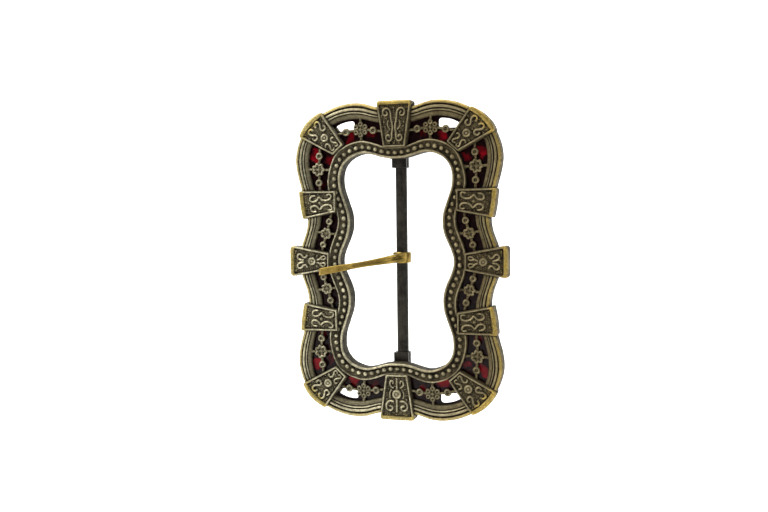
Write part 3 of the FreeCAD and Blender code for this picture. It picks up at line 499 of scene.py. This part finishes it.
# scrollwork on the plaques
left, right, domes, studs = Soup(), Soup(), Soup(), Soup()
TOP = -0.58
PATTERNS = {
    "corner": {
        "paths": [([(10.8, 0.75), (11.35, 1.0), (11.7, 1.75), (11.35, 2.5), (10.4, 2.45), (9.6, 1.8),
                    (8.9, 1.3), (8.25, 1.55), (8.1, 2.3), (8.5, 3.05), (9.2, 3.0)], 0.3),
                  ([(4.15, 2.1), (4.5, 1.4), (4.0, 0.8), (3.1, 0.85), (2.3, 1.35), (1.65, 1.5), (1.25, 1.0),
                    (1.55, 0.45)], 0.26)],
        "rosette": (6.35, 1.5), "beads": [(10.3, 3.9, 0.33), (5.4, 2.6, 0.28)]},
    "mid": {
        "paths": [([(8.2, 1.95), (8.7, 1.35), (9.45, 1.4), (10.1, 2.15), (10.9, 2.45), (11.6, 1.8), (11.35, 0.95),
                    (10.4, 0.5), (9.6, 0.33)], 0.3),
                  ([(4.35, 0.42), (3.6, 0.75), (2.8, 1.45), (2.0, 1.8), (1.4, 1.45), (1.45, 0.85), (2.2, 0.62),
                    (3.2, 0.85)], 0.25)],
        "rosette": (6.3, 1.5), "beads": [(4.5, 1.7, 0.3), (12.3, 3.4, 0.28)]},
    "side": {
        "paths": [([(7.5, 2.75), (8.55, 2.6), (9.2, 1.75), (8.8, 0.9), (7.7, 0.75), (6.7, 1.25), (5.9, 2.05),
                    (5.1, 1.3), (4.1, 0.85), (2.9, 0.8), (1.9, 1.25), (1.5, 2.05), (1.95, 2.7), (2.85, 2.6)], 0.29)],
        "rosette": None, "beads": [], "lozenge": (5.9, 0.75)},
    "lyre": {
        "paths": [([(3.5, 1.55), (4.05, 1.75), (3.95, 2.45), (3.1, 2.75), (2.3, 2.3), (2.15, 1.4), (2.9, 0.8),
                    (4.3, 0.75), (5.7, 0.55), (7.0, 0.42), (8.6, 0.75), (10.2, 1.0), (11.6, 1.15), (12.7, 1.7),
                    (13.05, 2.6), (12.55, 3.5), (11.5, 3.75), (10.7, 3.3), (10.65, 2.5), (11.25, 2.15),
                    (11.8, 2.5)], 0.27),
                  ([(6.0, 1.35), (6.9, 2.0), (8.0, 2.15), (8.9, 1.9)], 0.22)],
        "rosette": None, "beads": [(8.4, 3.45, 0.4), (6.9, 3.1, 0.33), (1.35, 1.75, 0.34), (5.2, 2.0, 0.3),
                                   (9.6, 2.6, 0.26)],
        "axis_beads": [(1.3, 0.36), (13.1, 0.3)]},
    "fleur": {
        "paths": [([(9.2, 1.35), (9.05, 2.4), (9.75, 3.4), (10.95, 3.75), (12.0, 3.25), (12.3, 2.3), (11.8, 1.6),
                    (10.95, 1.65), (10.75, 2.4)], 0.3),
                  ([(4.5, 1.35), (3.95, 2.1), (3.0, 2.4), (2.2, 1.95), (2.35, 1.3), (3.0, 1.3)], 0.25),
                  ([(5.2, 1.85), (6.5, 2.45), (8.0, 2.3)], 0.22)],
        "rosette": (6.75, 1.65), "beads": [(8.5, 3.5, 0.33), (5.0, 2.9, 0.28)],
        "axis": [([(8.5, 0), (10.2, 0), (12.4, 0)], 0.3), ([(1.4, 0), (3.0, 0), (5.0, 0)], 0.24)],
        "axis_beads": [(12.5, 0.48), (1.4, 0.36)]},
}
for p in plaques:
    pat = PATTERNS[p.style]
    for path, r in pat["paths"]:
        curve = open_spline(path, 5 + 4 * len(path))
        for sign, soup in ((1, left), (-1, right)):
            xz = np.array([p.where(a, b * sign) for a, b in curve])
            tube(soup, xz, r + 0.08, FIELD - 0.33, flat=1.15, ball=1.2, n=8)
    for path, r in pat.get("axis", []):
        curve = open_spline(path, 10)
        tube(studs, np.array([p.where(a, b) for a, b in curve]), r + 0.07, FIELD - 0.33, flat=1.15, ball=1.0, n=8)
    for a, b, r in pat["beads"]:
        for sign in (1, -1):
            x, z = p.where(a, b * sign)
            lathe(domes, x, z, dome(r, FIELD - 0.66, 0.5, steps=4), n=10)
    for a, r in pat.get("axis_beads", []):
        x, z = p.where(a, 0)
        lathe(domes, x, z, dome(r, FIELD - 0.74, 0.5, steps=4), n=12)
    if pat["rosette"]:
        a, r = pat["rosette"]
        x, z = p.where(a, 0)
        lathe(domes, x, z, [(0, -0.92), (0.18 * r, -0.9), (0.3 * r, -0.74), (0.36 * r, -0.6), (0.45 * r, -0.6),
                            (0.55 * r, -0.78), (0.7 * r, -0.86), (0.85 * r, -0.8), (0.96 * r, -0.58), (r, -0.2),
                            (r, 0.5), (0, 0.5)], n=24)
    if "lozenge" in pat:
        a, r = pat["lozenge"]
        x, z = p.where(a, 0)
        lathe(domes, x, z, [(0, -0.72), (0.3 * r, -0.66), (r, -0.25), (r, 0.5), (0, 0.5)], n=4)

# small grains that break up the ground between the scrolls
grains = Soup()
seed = np.random.RandomState(11)
for p in plaques:
    taken = []
    for a0 in np.arange(1.15, p.len - 1.3, 0.74):
        half = np.interp(a0, [0, p.len], [np.linalg.norm(p.pts[2] - p.pts[3]) / 2, p.w1]) - 0.95
        for b0 in np.arange(-half, half + 0.01, 0.78):
            a, b = a0 + seed.uniform(-0.2, 0.2), b0 + seed.uniform(-0.2, 0.2)
            if seed.uniform() < 0.92:
                x, z = p.where(a, b)
                lathe(grains, x, z, dome(seed.uniform(0.22, 0.4), FIELD - seed.uniform(0.22, 0.5), 0.45, steps=3), n=8,
                      sx=seed.uniform(0.75, 1.25), sz=seed.uniform(0.75, 1.25), turn=seed.uniform(0, 1))

# chains in the openings
stem_a, stem_b, rings, discs, petals, hearts = Soup(), Soup(), Soup(), Soup(), Soup(), Soup()
petals_b, stubs = Soup(), Soup()


def torus(soup, x, z, r, w, s, n=20, k=7, flat=1.15):
    t = np.arange(n) * 2 * math.pi / n
    tube(soup, np.stack([x + r * np.cos(t), z + r * np.sin(t)], 1), w, s, closed=True, n=k, flat=flat)


for row, (c3, ends, walls) in enumerate(zip(CHAINS, ENDS, WALLS)):
    for sx, sz in QUADS:
        m = lambda q: np.array([sx * q[0], sz * q[1]], float)
        path = open_spline([m(ends[0]), m(c3[0]), m(c3[1]), m(c3[2]), m(ends[1])], 26)
        tube(stem_a, path, 0.46, 1.4, n=8, flat=1.2)
        a, b = m(walls[0]), m(walls[1])
        tube(stem_b, open_spline([a, b], 6), 0.44, 1.4, n=8, flat=1.2)
        # the stems swell where they meet the walls
        mid_w = m(c3[1])
        for end in (a, b):
            d = (mid_w - end) / np.linalg.norm(mid_w - end)
            lathe(stubs, *(end + d * 0.3), dome(0.85, 0.85, 2.1, steps=4), n=12)
        for k in (0, 2):
            x, z = m(c3[k])
            r = c3[k][2]
            torus(rings, x, z, r - 0.36, 0.41, 1.0, n=24, k=8)
            lathe(discs, x, z, [(0, 0.85), (0.16, 0.9), (0.26, 1.15), (r * 0.55, 1.35), (r * 0.66, 1.5), (r * 0.7, 1.95),
                                (0, 1.95)], n=14)
        x, z = m(c3[1])
        r = c3[1][2]
        if row == 0:
            # a flower of six looped petals
            for k in range(6):
                ang = 2 * math.pi * (k + 0.5) / 6
                px, pz = x + (r - 0.85) * math.cos(ang), z + (r - 0.85) * math.sin(ang)
                torus(petals if k % 2 else petals_b, px, pz, 0.58, 0.33, 1.0, n=16)
            lathe(discs, x, z, dome(0.66, 0.56, 1.9, steps=5), n=14)
        else:
            nt = 84
            t = np.arange(nt) * 2 * math.pi / nt
            rr = (r - 0.34) * (0.86 + 0.14 * np.cos(7 * t))
            tube(petals, np.stack([x + rr * np.cos(t), z + rr * np.sin(t)], 1), 0.39, 0.98, closed=True, n=8, flat=1.2)
            for k in range(7):
                ang = 2 * math.pi * k / 7
                ray = [[x + q * r * math.cos(ang), z + q * r * math.sin(ang)] for q in (0.1, 0.3, 0.5, 0.7)]
                tube(hearts if k % 2 else petals_b, np.array(ray), 0.16, 1.1, n=6)
            lathe(discs, x, z, dome(0.27 * r, 0.72, 1.9, steps=4), n=14)
        lathe(discs, x, z, [(0, 1.4), (0.3, 1.4), (0.7 * r, 1.45), (0.74 * r, 1.6), (0.74 * r, 1.95), (0, 1.95)], n=20)


def room(node):
    lo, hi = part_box(node)
    return np.array(lo) / MM + 0.01, np.array(hi) / MM - 0.01


def union(target, soups, keep=None):
    for k, s in enumerate(soups):
        o = s.make("tool_%d" % k, rough=ROUGH, keep=keep)
        mod = target.modifiers.new("join", "BOOLEAN")
        mod.operation, mod.solver, mod.object = "UNION", "MANIFOLD", o
        dg = bpy.context.evaluated_depsgraph_get()
        me = bpy.data.meshes.new_from_object(target.evaluated_get(dg))
        target.modifiers.clear()
        old = target.data
        target.data = me
        bpy.data.meshes.remove(old)
        bpy.data.objects.remove(o)
        print("union", k, len(me.polygons))
    return target


ROUGH = 0.035
IN_FRONT = room("openwork_front")
casting = base.make("openwork_front_casting", rough=ROUGH, keep=IN_FRONT)
union(casting, [bodies, wraps, beads, grains, left, right, domes, studs, stem_a, stem_b, stubs, rings, petals,
                petals_b, hearts, discs], IN_FRONT)


def finish_mesh(o, angle=38):
    me = o.data
    me.polygons.foreach_set("use_smooth", [True] * len(me.polygons))
    me.set_sharp_from_angle(angle=math.radians(angle))
    me.update()


finish_mesh(casting)


# per point: how near the outer edge it is, and how proud it stands of the
# ground round it, for the rubbed gold, the dark patina and the painted shade on the inner window walls
def signed(v2, loop):
    """Distance to a clockwise loop, positive inside."""
    best = np.full(len(v2), 1e9)
    side = np.zeros(len(v2))
    for a, b in zip(loop, np.roll(loop, -1, 0)):
        e = b - a
        ln = np.linalg.norm(e)
        d = v2 - a
        t = np.clip(d @ e / ln ** 2, 0, 1)
        q = np.linalg.norm(d - t[:, None] * e, axis=1)
        cross = (d[:, 0] * e[1] - d[:, 1] * e[0]) / ln
        near = q < best
        best[near] = q[near]
        side[near] = np.sign(cross[near])
    return best * side


def wear_attributes(o):
    me = o.data
    v = np.empty(len(me.vertices) * 3)
    me.vertices.foreach_get("co", v)
    v = v.reshape(-1, 3) / MM
    xz, s = v[:, [0, 2]], v[:, 1] - FRONT
    d_rim = signed(xz, even(rim_a, 200))
    d_band = signed(xz, even(band, 200))
    d_open = signed(xz, even(rim_b, 200))
    level = np.where(d_band > -0.02, np.clip((1.2 - s) / 1.16, 0, 1), np.clip((1.75 - s) / 1.15, 0, 1) * 0.68)
    rim_level = np.where(d_open < -1.45, np.clip((0.98 - s) / 0.72, 0, 1), np.clip(0.5 - 0.42 * (s - 0.7), 0.06, 0.55))
    level = np.where(d_open < 0.03, rim_level, level)
    gold = np.clip(1.0 - (d_rim + 0.2) / 2.6, 0, 1)
    for p in plaques:
        q = offset_lines(p.pts, [-2.2, -0.03, -0.03, -0.03])
        c = sum(q) / 4
        inside = np.ones(len(v), bool)
        for k in range(4):
            e = q[(k + 1) % 4] - q[k]
            nrm = np.array([-e[1], e[0]])
            if np.dot(c - q[k], nrm) < 0:
                nrm = -nrm
            inside &= (xz - q[k]) @ nrm > 0
        top = np.where(s < 0.1, np.clip((FIELD + 0.30 - s) / 1.24, 0, 1), np.clip(0.3 - 0.08 * s, 0.04, 0.3))
        level = np.where(inside & (s < 1.9), top, level)
        out = (xz - p.inn) @ p.u / p.len
        gold = np.where(inside, np.clip((out - 0.80) / 0.12, 0, 1), gold)
    level = np.where(s > 2.3, 0.05, level)
    gold = gold * np.clip(1.0 - (s - 0.7) / 1.6, 0.12, 1.0)
    # painted shade: the front of the inner window wall is darkened to stand for the shadow it lies in
    level = np.where((d_band > 2.6) & (s > 0.4), np.clip(0.3 - 0.4 * (s - 0.4), 0.0, 0.3), level)
    # the outer wall below the rim
    level = np.where((d_rim < 0.35) & (s > 0.8), np.clip(0.5 - 0.13 * (s - 0.8), 0.1, 0.5), level)
    for name, val in (("level", level), ("outer", gold)):
        att = me.attributes.new(name, "FLOAT", "POINT")
        att.data.foreach_set("value", val)


wear_attributes(casting)
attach(casting, "frame")
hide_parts("openwork_front")

# ---------------------------------------------------------------- the prong
eye_lo, eye_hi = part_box("prong")
SET = math.radians(9.7)
EYE_Z = 1.0
UNDER = eye_lo.y / MM + 1.6 + 0.05
tip_x = -26.9 / math.cos(SET)
prong_soup, eye_soup = Soup(), Soup()
top_line = [(1.9, -2.2), (-0.2, -5.85), (-3.9, -9.0), (-8.8, -10.75), (-14.0, UNDER - 1.55), (-20.0, UNDER - 1.55),
            (tip_x + 1.2, UNDER - 1.55)]
bot_line = [(-1.9, -2.0), (-2.7, -4.7), (-5.3, -7.55), (-9.4, -9.2), (-14.0, UNDER), (-20.0, UNDER),
            (tip_x + 1.2, UNDER)]
ts = open_spline(top_line, 60)
bs = open_spline(bot_line, 60)
rows = []
e = 0.22
for i in range(60):
    f = i / 59
    x = (ts[i][0] + bs[i][0]) / 2
    w = 1.23 if x < -21 else 1.23 - 0.18 * min(1, (x + 21) / 8.0) if x < -13 else 1.05 + 0.45 * min(1, (x + 13) / 11.0) ** 2
    g = 0.34 * max(0.0, min(1.0, (x + 16.0) / 2.5))
    prof = [(-w + e, 0), (w - e, 0), (w - 0.07, 0.07), (w, e), (w, 1 - e), (w - 0.07, 0.93), (w - e, 1.0), (0.42 * w, 1.0),
            (0.26 * w, 1.0 - g), (-0.26 * w, 1.0 - g), (-0.42 * w, 1.0), (-w + e, 1.0), (-w + 0.07, 0.93), (-w, 1 - e),
            (-w, e), (-w + 0.07, 0.07)]
    row = []
    for b, n in prof:
        p2 = bs[i] + (ts[i] - bs[i]) * n
        row.append((p2[0], p2[1], b))
    rows.append(np.array(row))
# square tip with a bevelled top edge
for dx, k, lift in ((0.75, 1.0, 0.0), (0.35, 0.97, 0.28), (0.06, 0.93, 0.55), (0.0, 0.84, 0.62)):
    row = rows[59].copy()
    row[:, 0] = tip_x + dx
    top = row[:, 1] < UNDER - 0.78
    row[top, 1] += lift
    row[~top, 1] -= (1 - k) * 1.2
    row[:, 2] *= k
    rows.append(row)
c, s_ = math.cos(SET), math.sin(SET)
loops = [np.stack([r[:, 0] * c + r[:, 2] * 0 , r[:, 1], EYE_Z + r[:, 0] * s_ + r[:, 2] * 1.0], 1) for r in rows]
stack_loops(prong_soup, loops)
# eye: rounded band round the bar
r0, r1, hw = 2.07, 3.2, 1.9
pr = [(r0, -hw + 0.3), (r0 + 0.1, -hw + 0.1), (r0 + 0.3, -hw), (r1 - 0.4, -hw), (r1 - 0.14, -hw + 0.1), (r1, -hw + 0.4),
      (r1, hw - 0.4), (r1 - 0.14, hw - 0.1), (r1 - 0.4, hw), (r0 + 0.3, hw), (r0 + 0.1, hw - 0.1), (r0, hw - 0.3)]
n = 56
v, f = [], []
for i in range(n):
    a = 2 * math.pi * i / n
    for r, z in pr:
        v.append((r * math.cos(a), r * math.sin(a), EYE_Z + z))
m = len(pr)
for i in range(n):
    i2 = (i + 1) % n
    for j in range(m):
        j2 = (j + 1) % m
        f.append((i * m + j, i2 * m + j, i2 * m + j2, i * m + j2))
eye_soup.add(np.array(v), f)
ROUGH = 0.012
prong = prong_soup.make("prong_tongue", rough=ROUGH, keep=room("prong"))
union(prong, [eye_soup], room("prong"))
finish_mesh(prong, 34)
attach(prong, "prong")
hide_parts("prong")

# ---------------------------------------------------------------- kept CAD pieces
for name, width in (("bar_lug_top", 0.35), ("bar_lug_bottom", 0.35), ("back_frame", 0.12), ("frame_rivets", 0.1),
                    ("lug_rivets", 0.1)):
    o = nodes[name]
    b = o.modifiers.new("soft_edges", "BEVEL")
    b.width, b.segments, b.limit_method, b.angle_limit = width * MM, 2, "ANGLE", math.radians(40)
    b.use_clamp_overlap = True


# ---------------------------------------------------------------- materials
class Mat:
    def __init__(self, name):
        self.m = bpy.data.materials.new(name)
        self.m.use_nodes = True
        self.t = self.m.node_tree
        self.t.nodes.clear()
        self.out = self.t.nodes.new("ShaderNodeOutputMaterial")
        self.bsdf = self.t.nodes.new("ShaderNodeBsdfPrincipled")
        self.t.links.new(self.bsdf.outputs[0], self.out.inputs[0])
        self.co = self.t.nodes.new("ShaderNodeTexCoord").outputs["Object"]

    def node(self, kind, **kw):
        n = self.t.nodes.new("ShaderNode" + kind)
        for k, v in kw.items():
            setattr(n, k, v)
        return n

    def put(self, socket, value):
        if isinstance(value, bpy.types.NodeSocket):
            self.t.links.new(value, socket)
        else:
            socket.default_value = value
        return socket

    def math(self, op, a, b=0.0, c=None, clamp=False):
        n = self.node("Math", operation=op, use_clamp=clamp)
        self.put(n.inputs[0], a)
        self.put(n.inputs[1], b)
        if c is not None:
            self.put(n.inputs[2], c)
        return n.outputs[0]

    def span(self, x, a, b, lo=0.0, hi=1.0, smooth=False):
        n = self.node("MapRange", interpolation_type="SMOOTHSTEP" if smooth else "LINEAR", clamp=True)
        self.put(n.inputs["Value"], x)
        for k, val in (("From Min", a), ("From Max", b), ("To Min", lo), ("To Max", hi)):
            n.inputs[k].default_value = val
        return n.outputs[0]

    def noise(self, scale, detail=4.0, rough=0.55, co=None):
        n = self.node("TexNoise")
        self.put(n.inputs["Vector"], self.co if co is None else co)
        n.inputs["Scale"].default_value = scale
        n.inputs["Detail"].default_value = detail
        n.inputs["Roughness"].default_value = rough
        return n.outputs["Fac"]

    def ramp(self, x, stops):
        n = self.node("ValToRGB")
        self.put(n.inputs[0], x)
        el = n.color_ramp.elements
        while len(el) < len(stops):
            el.new(0.5)
        for e_, (pos, col) in zip(el, stops):
            e_.position = pos
            e_.color = (*col, 1.0)
        return n.outputs[0]

    def mix(self, f, a, b, mode="MIX"):
        n = self.node("Mix", data_type="RGBA", blend_type=mode)
        self.put(n.inputs[0], f)
        for sock, v in ((n.inputs[6], a), (n.inputs[7], b)):
            if isinstance(v, bpy.types.NodeSocket):
                self.t.links.new(v, sock)
            else:
                sock.default_value = (*v, 1.0)
        return n.outputs[2]

    def bump(self, height, distance, strength=1.0):
        n = self.node("Bump")
        n.inputs["Strength"].default_value = strength
        n.inputs["Distance"].default_value = distance
        self.put(n.inputs["Height"], height)
        self.t.links.new(n.outputs[0], self.bsdf.inputs["Normal"])

    def edges(self, radius):
        """1 on sharp edges, 0 on flat or smooth places."""
        b = self.node("Bevel")
        b.samples = 6
        b.inputs["Radius"].default_value = radius
        g = self.node("NewGeometry")
        d = self.node("VectorMath", operation="DOT_PRODUCT")
        self.t.links.new(b.outputs[0], d.inputs[0])
        self.t.links.new(g.outputs["Normal"], d.inputs[1])
        return self.span(d.outputs["Value"], 0.995, 0.86)

    def ao(self, distance):
        a = self.node("AmbientOcclusion")
        a.samples = 8
        a.only_local = True
        a.inputs["Distance"].default_value = distance
        return a.outputs["AO"]


def casting_material():
    m = Mat("antiqued_casting")
    level = m.node("Attribute", attribute_name="level").outputs["Fac"]
    outer = m.node("Attribute", attribute_name="outer").outputs["Fac"]
    # ambient occlusion: cav darkens the hollows for the dark antique patina; tight darkens the crevices round the
    # scrolls, partly patina and partly painted shade
    cav = m.span(m.ao(1.0 * MM), 0.35, 0.95)
    tight = m.span(m.ao(0.38 * MM), 0.45, 0.92)
    blotch = m.noise(330, 5, 0.6)
    fine = m.noise(2100, 4, 0.62)
    grit = m.noise(8000, 2, 0.5)
    mottle = m.noise(900, 4, 0.7)
    lift = m.math("MULTIPLY", level, m.math("MULTIPLY_ADD", cav, 0.56, 0.28))
    lift = m.math("ADD", lift, m.math("MULTIPLY", cav, 0.13))
    lift = m.math("ADD", lift, m.span(blotch, 0.3, 0.7, -0.13, 0.09))
    lift = m.math("ADD", lift, m.span(mottle, 0.35, 0.65, -0.15, 0.09))
    lift = m.math("ADD", lift, m.span(fine, 0.3, 0.7, -0.18, 0.13))
    edge = m.math("MULTIPLY", m.edges(0.2 * MM), m.math("MULTIPLY", cav, m.span(level, 0.1, 0.5)))
    lift = m.math("ADD", lift, m.math("MULTIPLY", edge, 0.22), clamp=True)
    # painted shade and patina: the colour is darkened in the tight crevices
    lift = m.math("MULTIPLY", lift, m.math("MULTIPLY_ADD", tight, 0.42, 0.58))
    # painted shade: the right half is made darker and browner in the colour, as the side away from the light
    sep = m.node("SeparateXYZ")
    m.t.links.new(m.co, sep.inputs[0])
    right_side_shade = m.span(m.math("MULTIPLY_ADD", sep.outputs["Z"], 0.25, sep.outputs["X"]), -25 * MM, 30 * MM, smooth=True)
    lift = m.math("MULTIPLY", lift, m.math("MULTIPLY_ADD", right_side_shade, -0.25, 1.03), clamp=True)
    col = m.ramp(lift, [(0.0, (0.009, 0.0075, 0.0055)), (0.14, (0.034, 0.029, 0.018)), (0.36, (0.085, 0.074, 0.044)),
                        (0.62, (0.132, 0.119, 0.077)), (0.84, (0.212, 0.193, 0.128)), (1.0, (0.38, 0.35, 0.235))])
    gold = m.math("MULTIPLY", m.span(outer, 0.15, 0.8), m.span(lift, 0.2, 0.58))
    gold = m.math("MULTIPLY", gold, m.span(blotch, 0.32, 0.6, 0.6, 1.0))
    col = m.mix(gold, col, m.mix(m.span(fine, 0.35, 0.65), (0.15, 0.112, 0.030), (0.34, 0.27, 0.085)))
    # painted shade: browner tint over the right half
    col = m.mix(right_side_shade, col, m.mix(1.0, col, (0.94, 0.85, 0.72), "MULTIPLY"))
    m.put(m.bsdf.inputs["Base Color"], col)
    m.put(m.bsdf.inputs["Metallic"], m.span(lift, 0.2, 0.46))
    m.bsdf.inputs["Specular IOR Level"].default_value = 0.02
    rough = m.math("ADD", m.span(lift, 0.2, 0.95, 0.6, 0.28), m.span(fine, 0.3, 0.7, -0.06, 0.08))
    m.put(m.bsdf.inputs["Roughness"], rough)
    h = m.math("ADD", m.math("MULTIPLY", fine, 0.7), m.math("MULTIPLY", grit, 0.3))
    m.bump(m.math("ADD", h, m.math("MULTIPLY", mottle, 0.8)), 0.16 * MM, 0.75)
    return m.m


def liner_material():
    m = Mat("garnet_liner")
    wave = m.noise(170, 2, 0.4)
    vein = m.noise(900, 3, 0.5)
    cloud = m.noise(330, 3, 0.55)
    # painted light: the base colour is made redder in a few pools near the corners, standing for light shining through
    # the sheet
    sep = m.node("SeparateXYZ")
    m.t.links.new(m.co, sep.inputs[0])
    comb = m.node("CombineXYZ")
    m.t.links.new(m.math("ABSOLUTE", sep.outputs["X"]), comb.inputs[0])
    m.t.links.new(m.math("ABSOLUTE", sep.outputs["Z"]), comb.inputs[2])
    painted_backlight = None
    for x, z, r, top in ((29.4, 36.6, 2.9, 0.85), (24.2, 34.6, 2.1, 0.5), (15.8, 41.4, 2.7, 0.8), (8.6, 43.6, 2.4, 0.35),
                         (27.2, 25.5, 1.8, 0.25)):
        d = m.node("VectorMath", operation="DISTANCE")
        m.t.links.new(comb.outputs[0], d.inputs[0])
        d.inputs[1].default_value = (x * MM, 0, z * MM)
        far = m.math("MULTIPLY_ADD", m.math("SUBTRACT", cloud, 0.45), 7.0 * MM, d.outputs["Value"])
        g = m.span(far, r * MM, 0.45 * r * MM, 0.0, top, smooth=True)
        painted_backlight = g if painted_backlight is None else m.math("MAXIMUM", painted_backlight, g)
    painted_backlight = m.math("MULTIPLY", painted_backlight, m.span(cloud, 0.62, 0.4, 0.35, 1.0))
    # painted light: near-black garnet, turned red inside the painted pools
    col = m.mix(painted_backlight, (0.0035, 0.0006, 0.0007), (0.23, 0.002, 0.007))
    col = m.mix(m.span(vein, 0.3, 0.75, 0.0, 0.45), col, (0.02, 0.0006, 0.0018))
    m.put(m.bsdf.inputs["Base Color"], col)
    m.bsdf.inputs["Transmission Weight"].default_value = 0.1
    m.bsdf.inputs["IOR"].default_value = 1.46
    m.bsdf.inputs["Specular IOR Level"].default_value = 0.05
    m.put(m.bsdf.inputs["Roughness"], m.span(vein, 0.3, 0.7, 0.12, 0.26))
    m.bump(wave, 0.35 * MM, 0.4)
    return m.m


def brass_material(name, lo, hi, rough_lo, rough_hi, scratch_axis=(1, 1, 1), ao_shade=0.5, metal=1.0):
    m = Mat(name)
    mp = m.node("Mapping")
    m.t.links.new(m.co, mp.inputs[0])
    mp.inputs["Scale"].default_value = scratch_axis
    scr = m.noise(1400, 5, 0.65, mp.outputs[0])
    blotch = m.noise(330, 4, 0.6)
    cav = m.span(m.ao(1.2 * MM), 0.3, 0.9)
    edge = m.edges(0.2 * MM)
    f = m.math("ADD", m.math("MULTIPLY", m.span(blotch, 0.3, 0.7), 0.5), m.math("MULTIPLY", m.span(scr, 0.3, 0.7), 0.3))
    f = m.math("ADD", f, m.math("MULTIPLY", edge, 0.5), clamp=True)
    # painted shade: the base colour is darkened in the recesses by ambient occlusion
    f = m.math("MULTIPLY", f, m.math("MULTIPLY_ADD", cav, ao_shade, 1 - ao_shade))
    m.put(m.bsdf.inputs["Base Color"], m.mix(f, lo, hi))
    m.bsdf.inputs["Metallic"].default_value = metal
    m.put(m.bsdf.inputs["Roughness"], m.span(m.math("ADD", m.math("MULTIPLY", scr, 0.6), m.math("MULTIPLY", blotch, 0.4)),
                                             0.3, 0.7, rough_lo, rough_hi))
    m.bump(scr, 0.03 * MM, 0.5)
    return m.m


CAST = casting_material()
LINER = liner_material()
POLISHED = brass_material("polished_brass", (0.10, 0.064, 0.013), (0.37, 0.26, 0.066), 0.22, 0.42, (0.25, 3, 3), 0.8)
DARK = brass_material("darkened_brass", (0.045, 0.038, 0.023), (0.19, 0.16, 0.095), 0.42, 0.66, (1, 1, 1), 0.7)
BLACK = brass_material("blackened_steel", (0.007, 0.0065, 0.006), (0.052, 0.046, 0.037), 0.34, 0.6, (1, 1, 1), 0.7)


def paint(o, mat):
    o.data.materials.clear()
    o.data.materials.append(mat)


paint(casting, CAST)
paint(prong, POLISHED)
paint(nodes["red_liner"], LINER)
paint(nodes["back_frame"], DARK)
paint(nodes["frame_rivets"], DARK)
paint(nodes["lug_rivets"], DARK)
paint(nodes["bar_lug_top"], BLACK)
paint(nodes["bar_lug_bottom"], BLACK)
paint(nodes["centre_bar"], BLACK)

# ---------------------------------------------------------------- stage
LOW = CAD_LO.z - 0.030


def backdrop():
    w, r = 2.4, 0.35
    prof = [(-2.2, LOW), (0.55, LOW)]
    for k in range(1, 13):
        a = math.pi / 2 * k / 12
        prof.append((0.55 + r * math.sin(a), LOW + r * (1 - math.cos(a))))
    prof.append((0.55 + r, LOW + 2.6))
    v = [(x, y, z) for y, z in prof for x in (-w, w)]
    f = [(2 * i, 2 * i + 1, 2 * i + 3, 2 * i + 2) for i in range(len(prof) - 1)]
    me = bpy.data.meshes.new("pale_floor")
    me.from_pydata(v, [], f)
    me.polygons.foreach_set("use_smooth", [True] * len(me.polygons))
    o = bpy.data.objects.new("pale_floor", me)
    bpy.context.scene.collection.objects.link(o)
    m = Mat("pale_floor")
    m.bsdf.inputs["Base Color"].default_value = (0.86, 0.86, 0.85, 1)
    m.bsdf.inputs["Roughness"].default_value = 0.7
    m.bsdf.inputs["Emission Color"].default_value = (1, 1, 1, 1)
    m.bsdf.inputs["Emission Strength"].default_value = 0.22
    paint(o, m.m)


backdrop()


def area(name, loc, aim, size, power, color=(1, 1, 1)):
    l = bpy.data.lights.new(name, "AREA")
    l.shape = "RECTANGLE"
    l.size, l.size_y = size
    l.energy = power
    l.color = color
    o = bpy.data.objects.new(name, l)
    o.location = loc
    o.rotation_euler = (Vector(aim) - Vector(loc)).to_track_quat("-Z", "Y").to_euler()
    bpy.context.scene.collection.objects.link(o)
    return o


area("key_top_left", (-0.45, -0.55, 0.60), (0, 0, 0), (0.5, 0.5), 9.0, (1.0, 0.98, 0.95))
area("fill_right", (0.75, -0.35, 0.15), (0, 0, 0), (0.35, 0.7), 3.0, (0.95, 0.97, 1.0))
area("side_left", (-0.70, -0.15, 0.05), (0, 0, 0), (0.3, 0.8), 5.0)
area("top", (0.0, -0.05, 0.75), (0, 0, 0), (0.7, 0.4), 6.0)
area("back_wash", (0.0, 0.25, 0.95), (0, 0.8, 0.2), (1.4, 0.5), 16.0)

world = bpy.data.worlds.new("soft_studio")
bpy.context.scene.world = world
world.use_nodes = True
world.node_tree.nodes["Background"].inputs[0].default_value = (0.80, 0.82, 0.85, 1)
world.node_tree.nodes["Background"].inputs[1].default_value = 0.32
bpy.context.scene.view_settings.view_transform = "Standard"

# ---------------------------------------------------------------- camera
cam_data = bpy.data.cameras.new("camera")
cam = bpy.data.objects.new("camera", cam_data)
bpy.context.scene.collection.objects.link(cam)
R_ = ((0.958408, 0.285156, -0.011829), (-0.003784, 0.054139, 0.998526), (-0.285376, 0.956951, -0.052967))
loc = Vector((84.785, -297.685 + FRONT - 0.3, 18.36)) * MM
rot = Matrix((R_[0], R_[1], tuple(-x for x in R_[2]))).transposed().to_4x4()
cam.matrix_world = Matrix.Translation(loc) @ rot
cam_data.lens = 43.06
cam_data.sensor_width = 36.0
cam_data.clip_start, cam_data.clip_end = 0.01, 20.0
bpy.context.scene.camera = cam
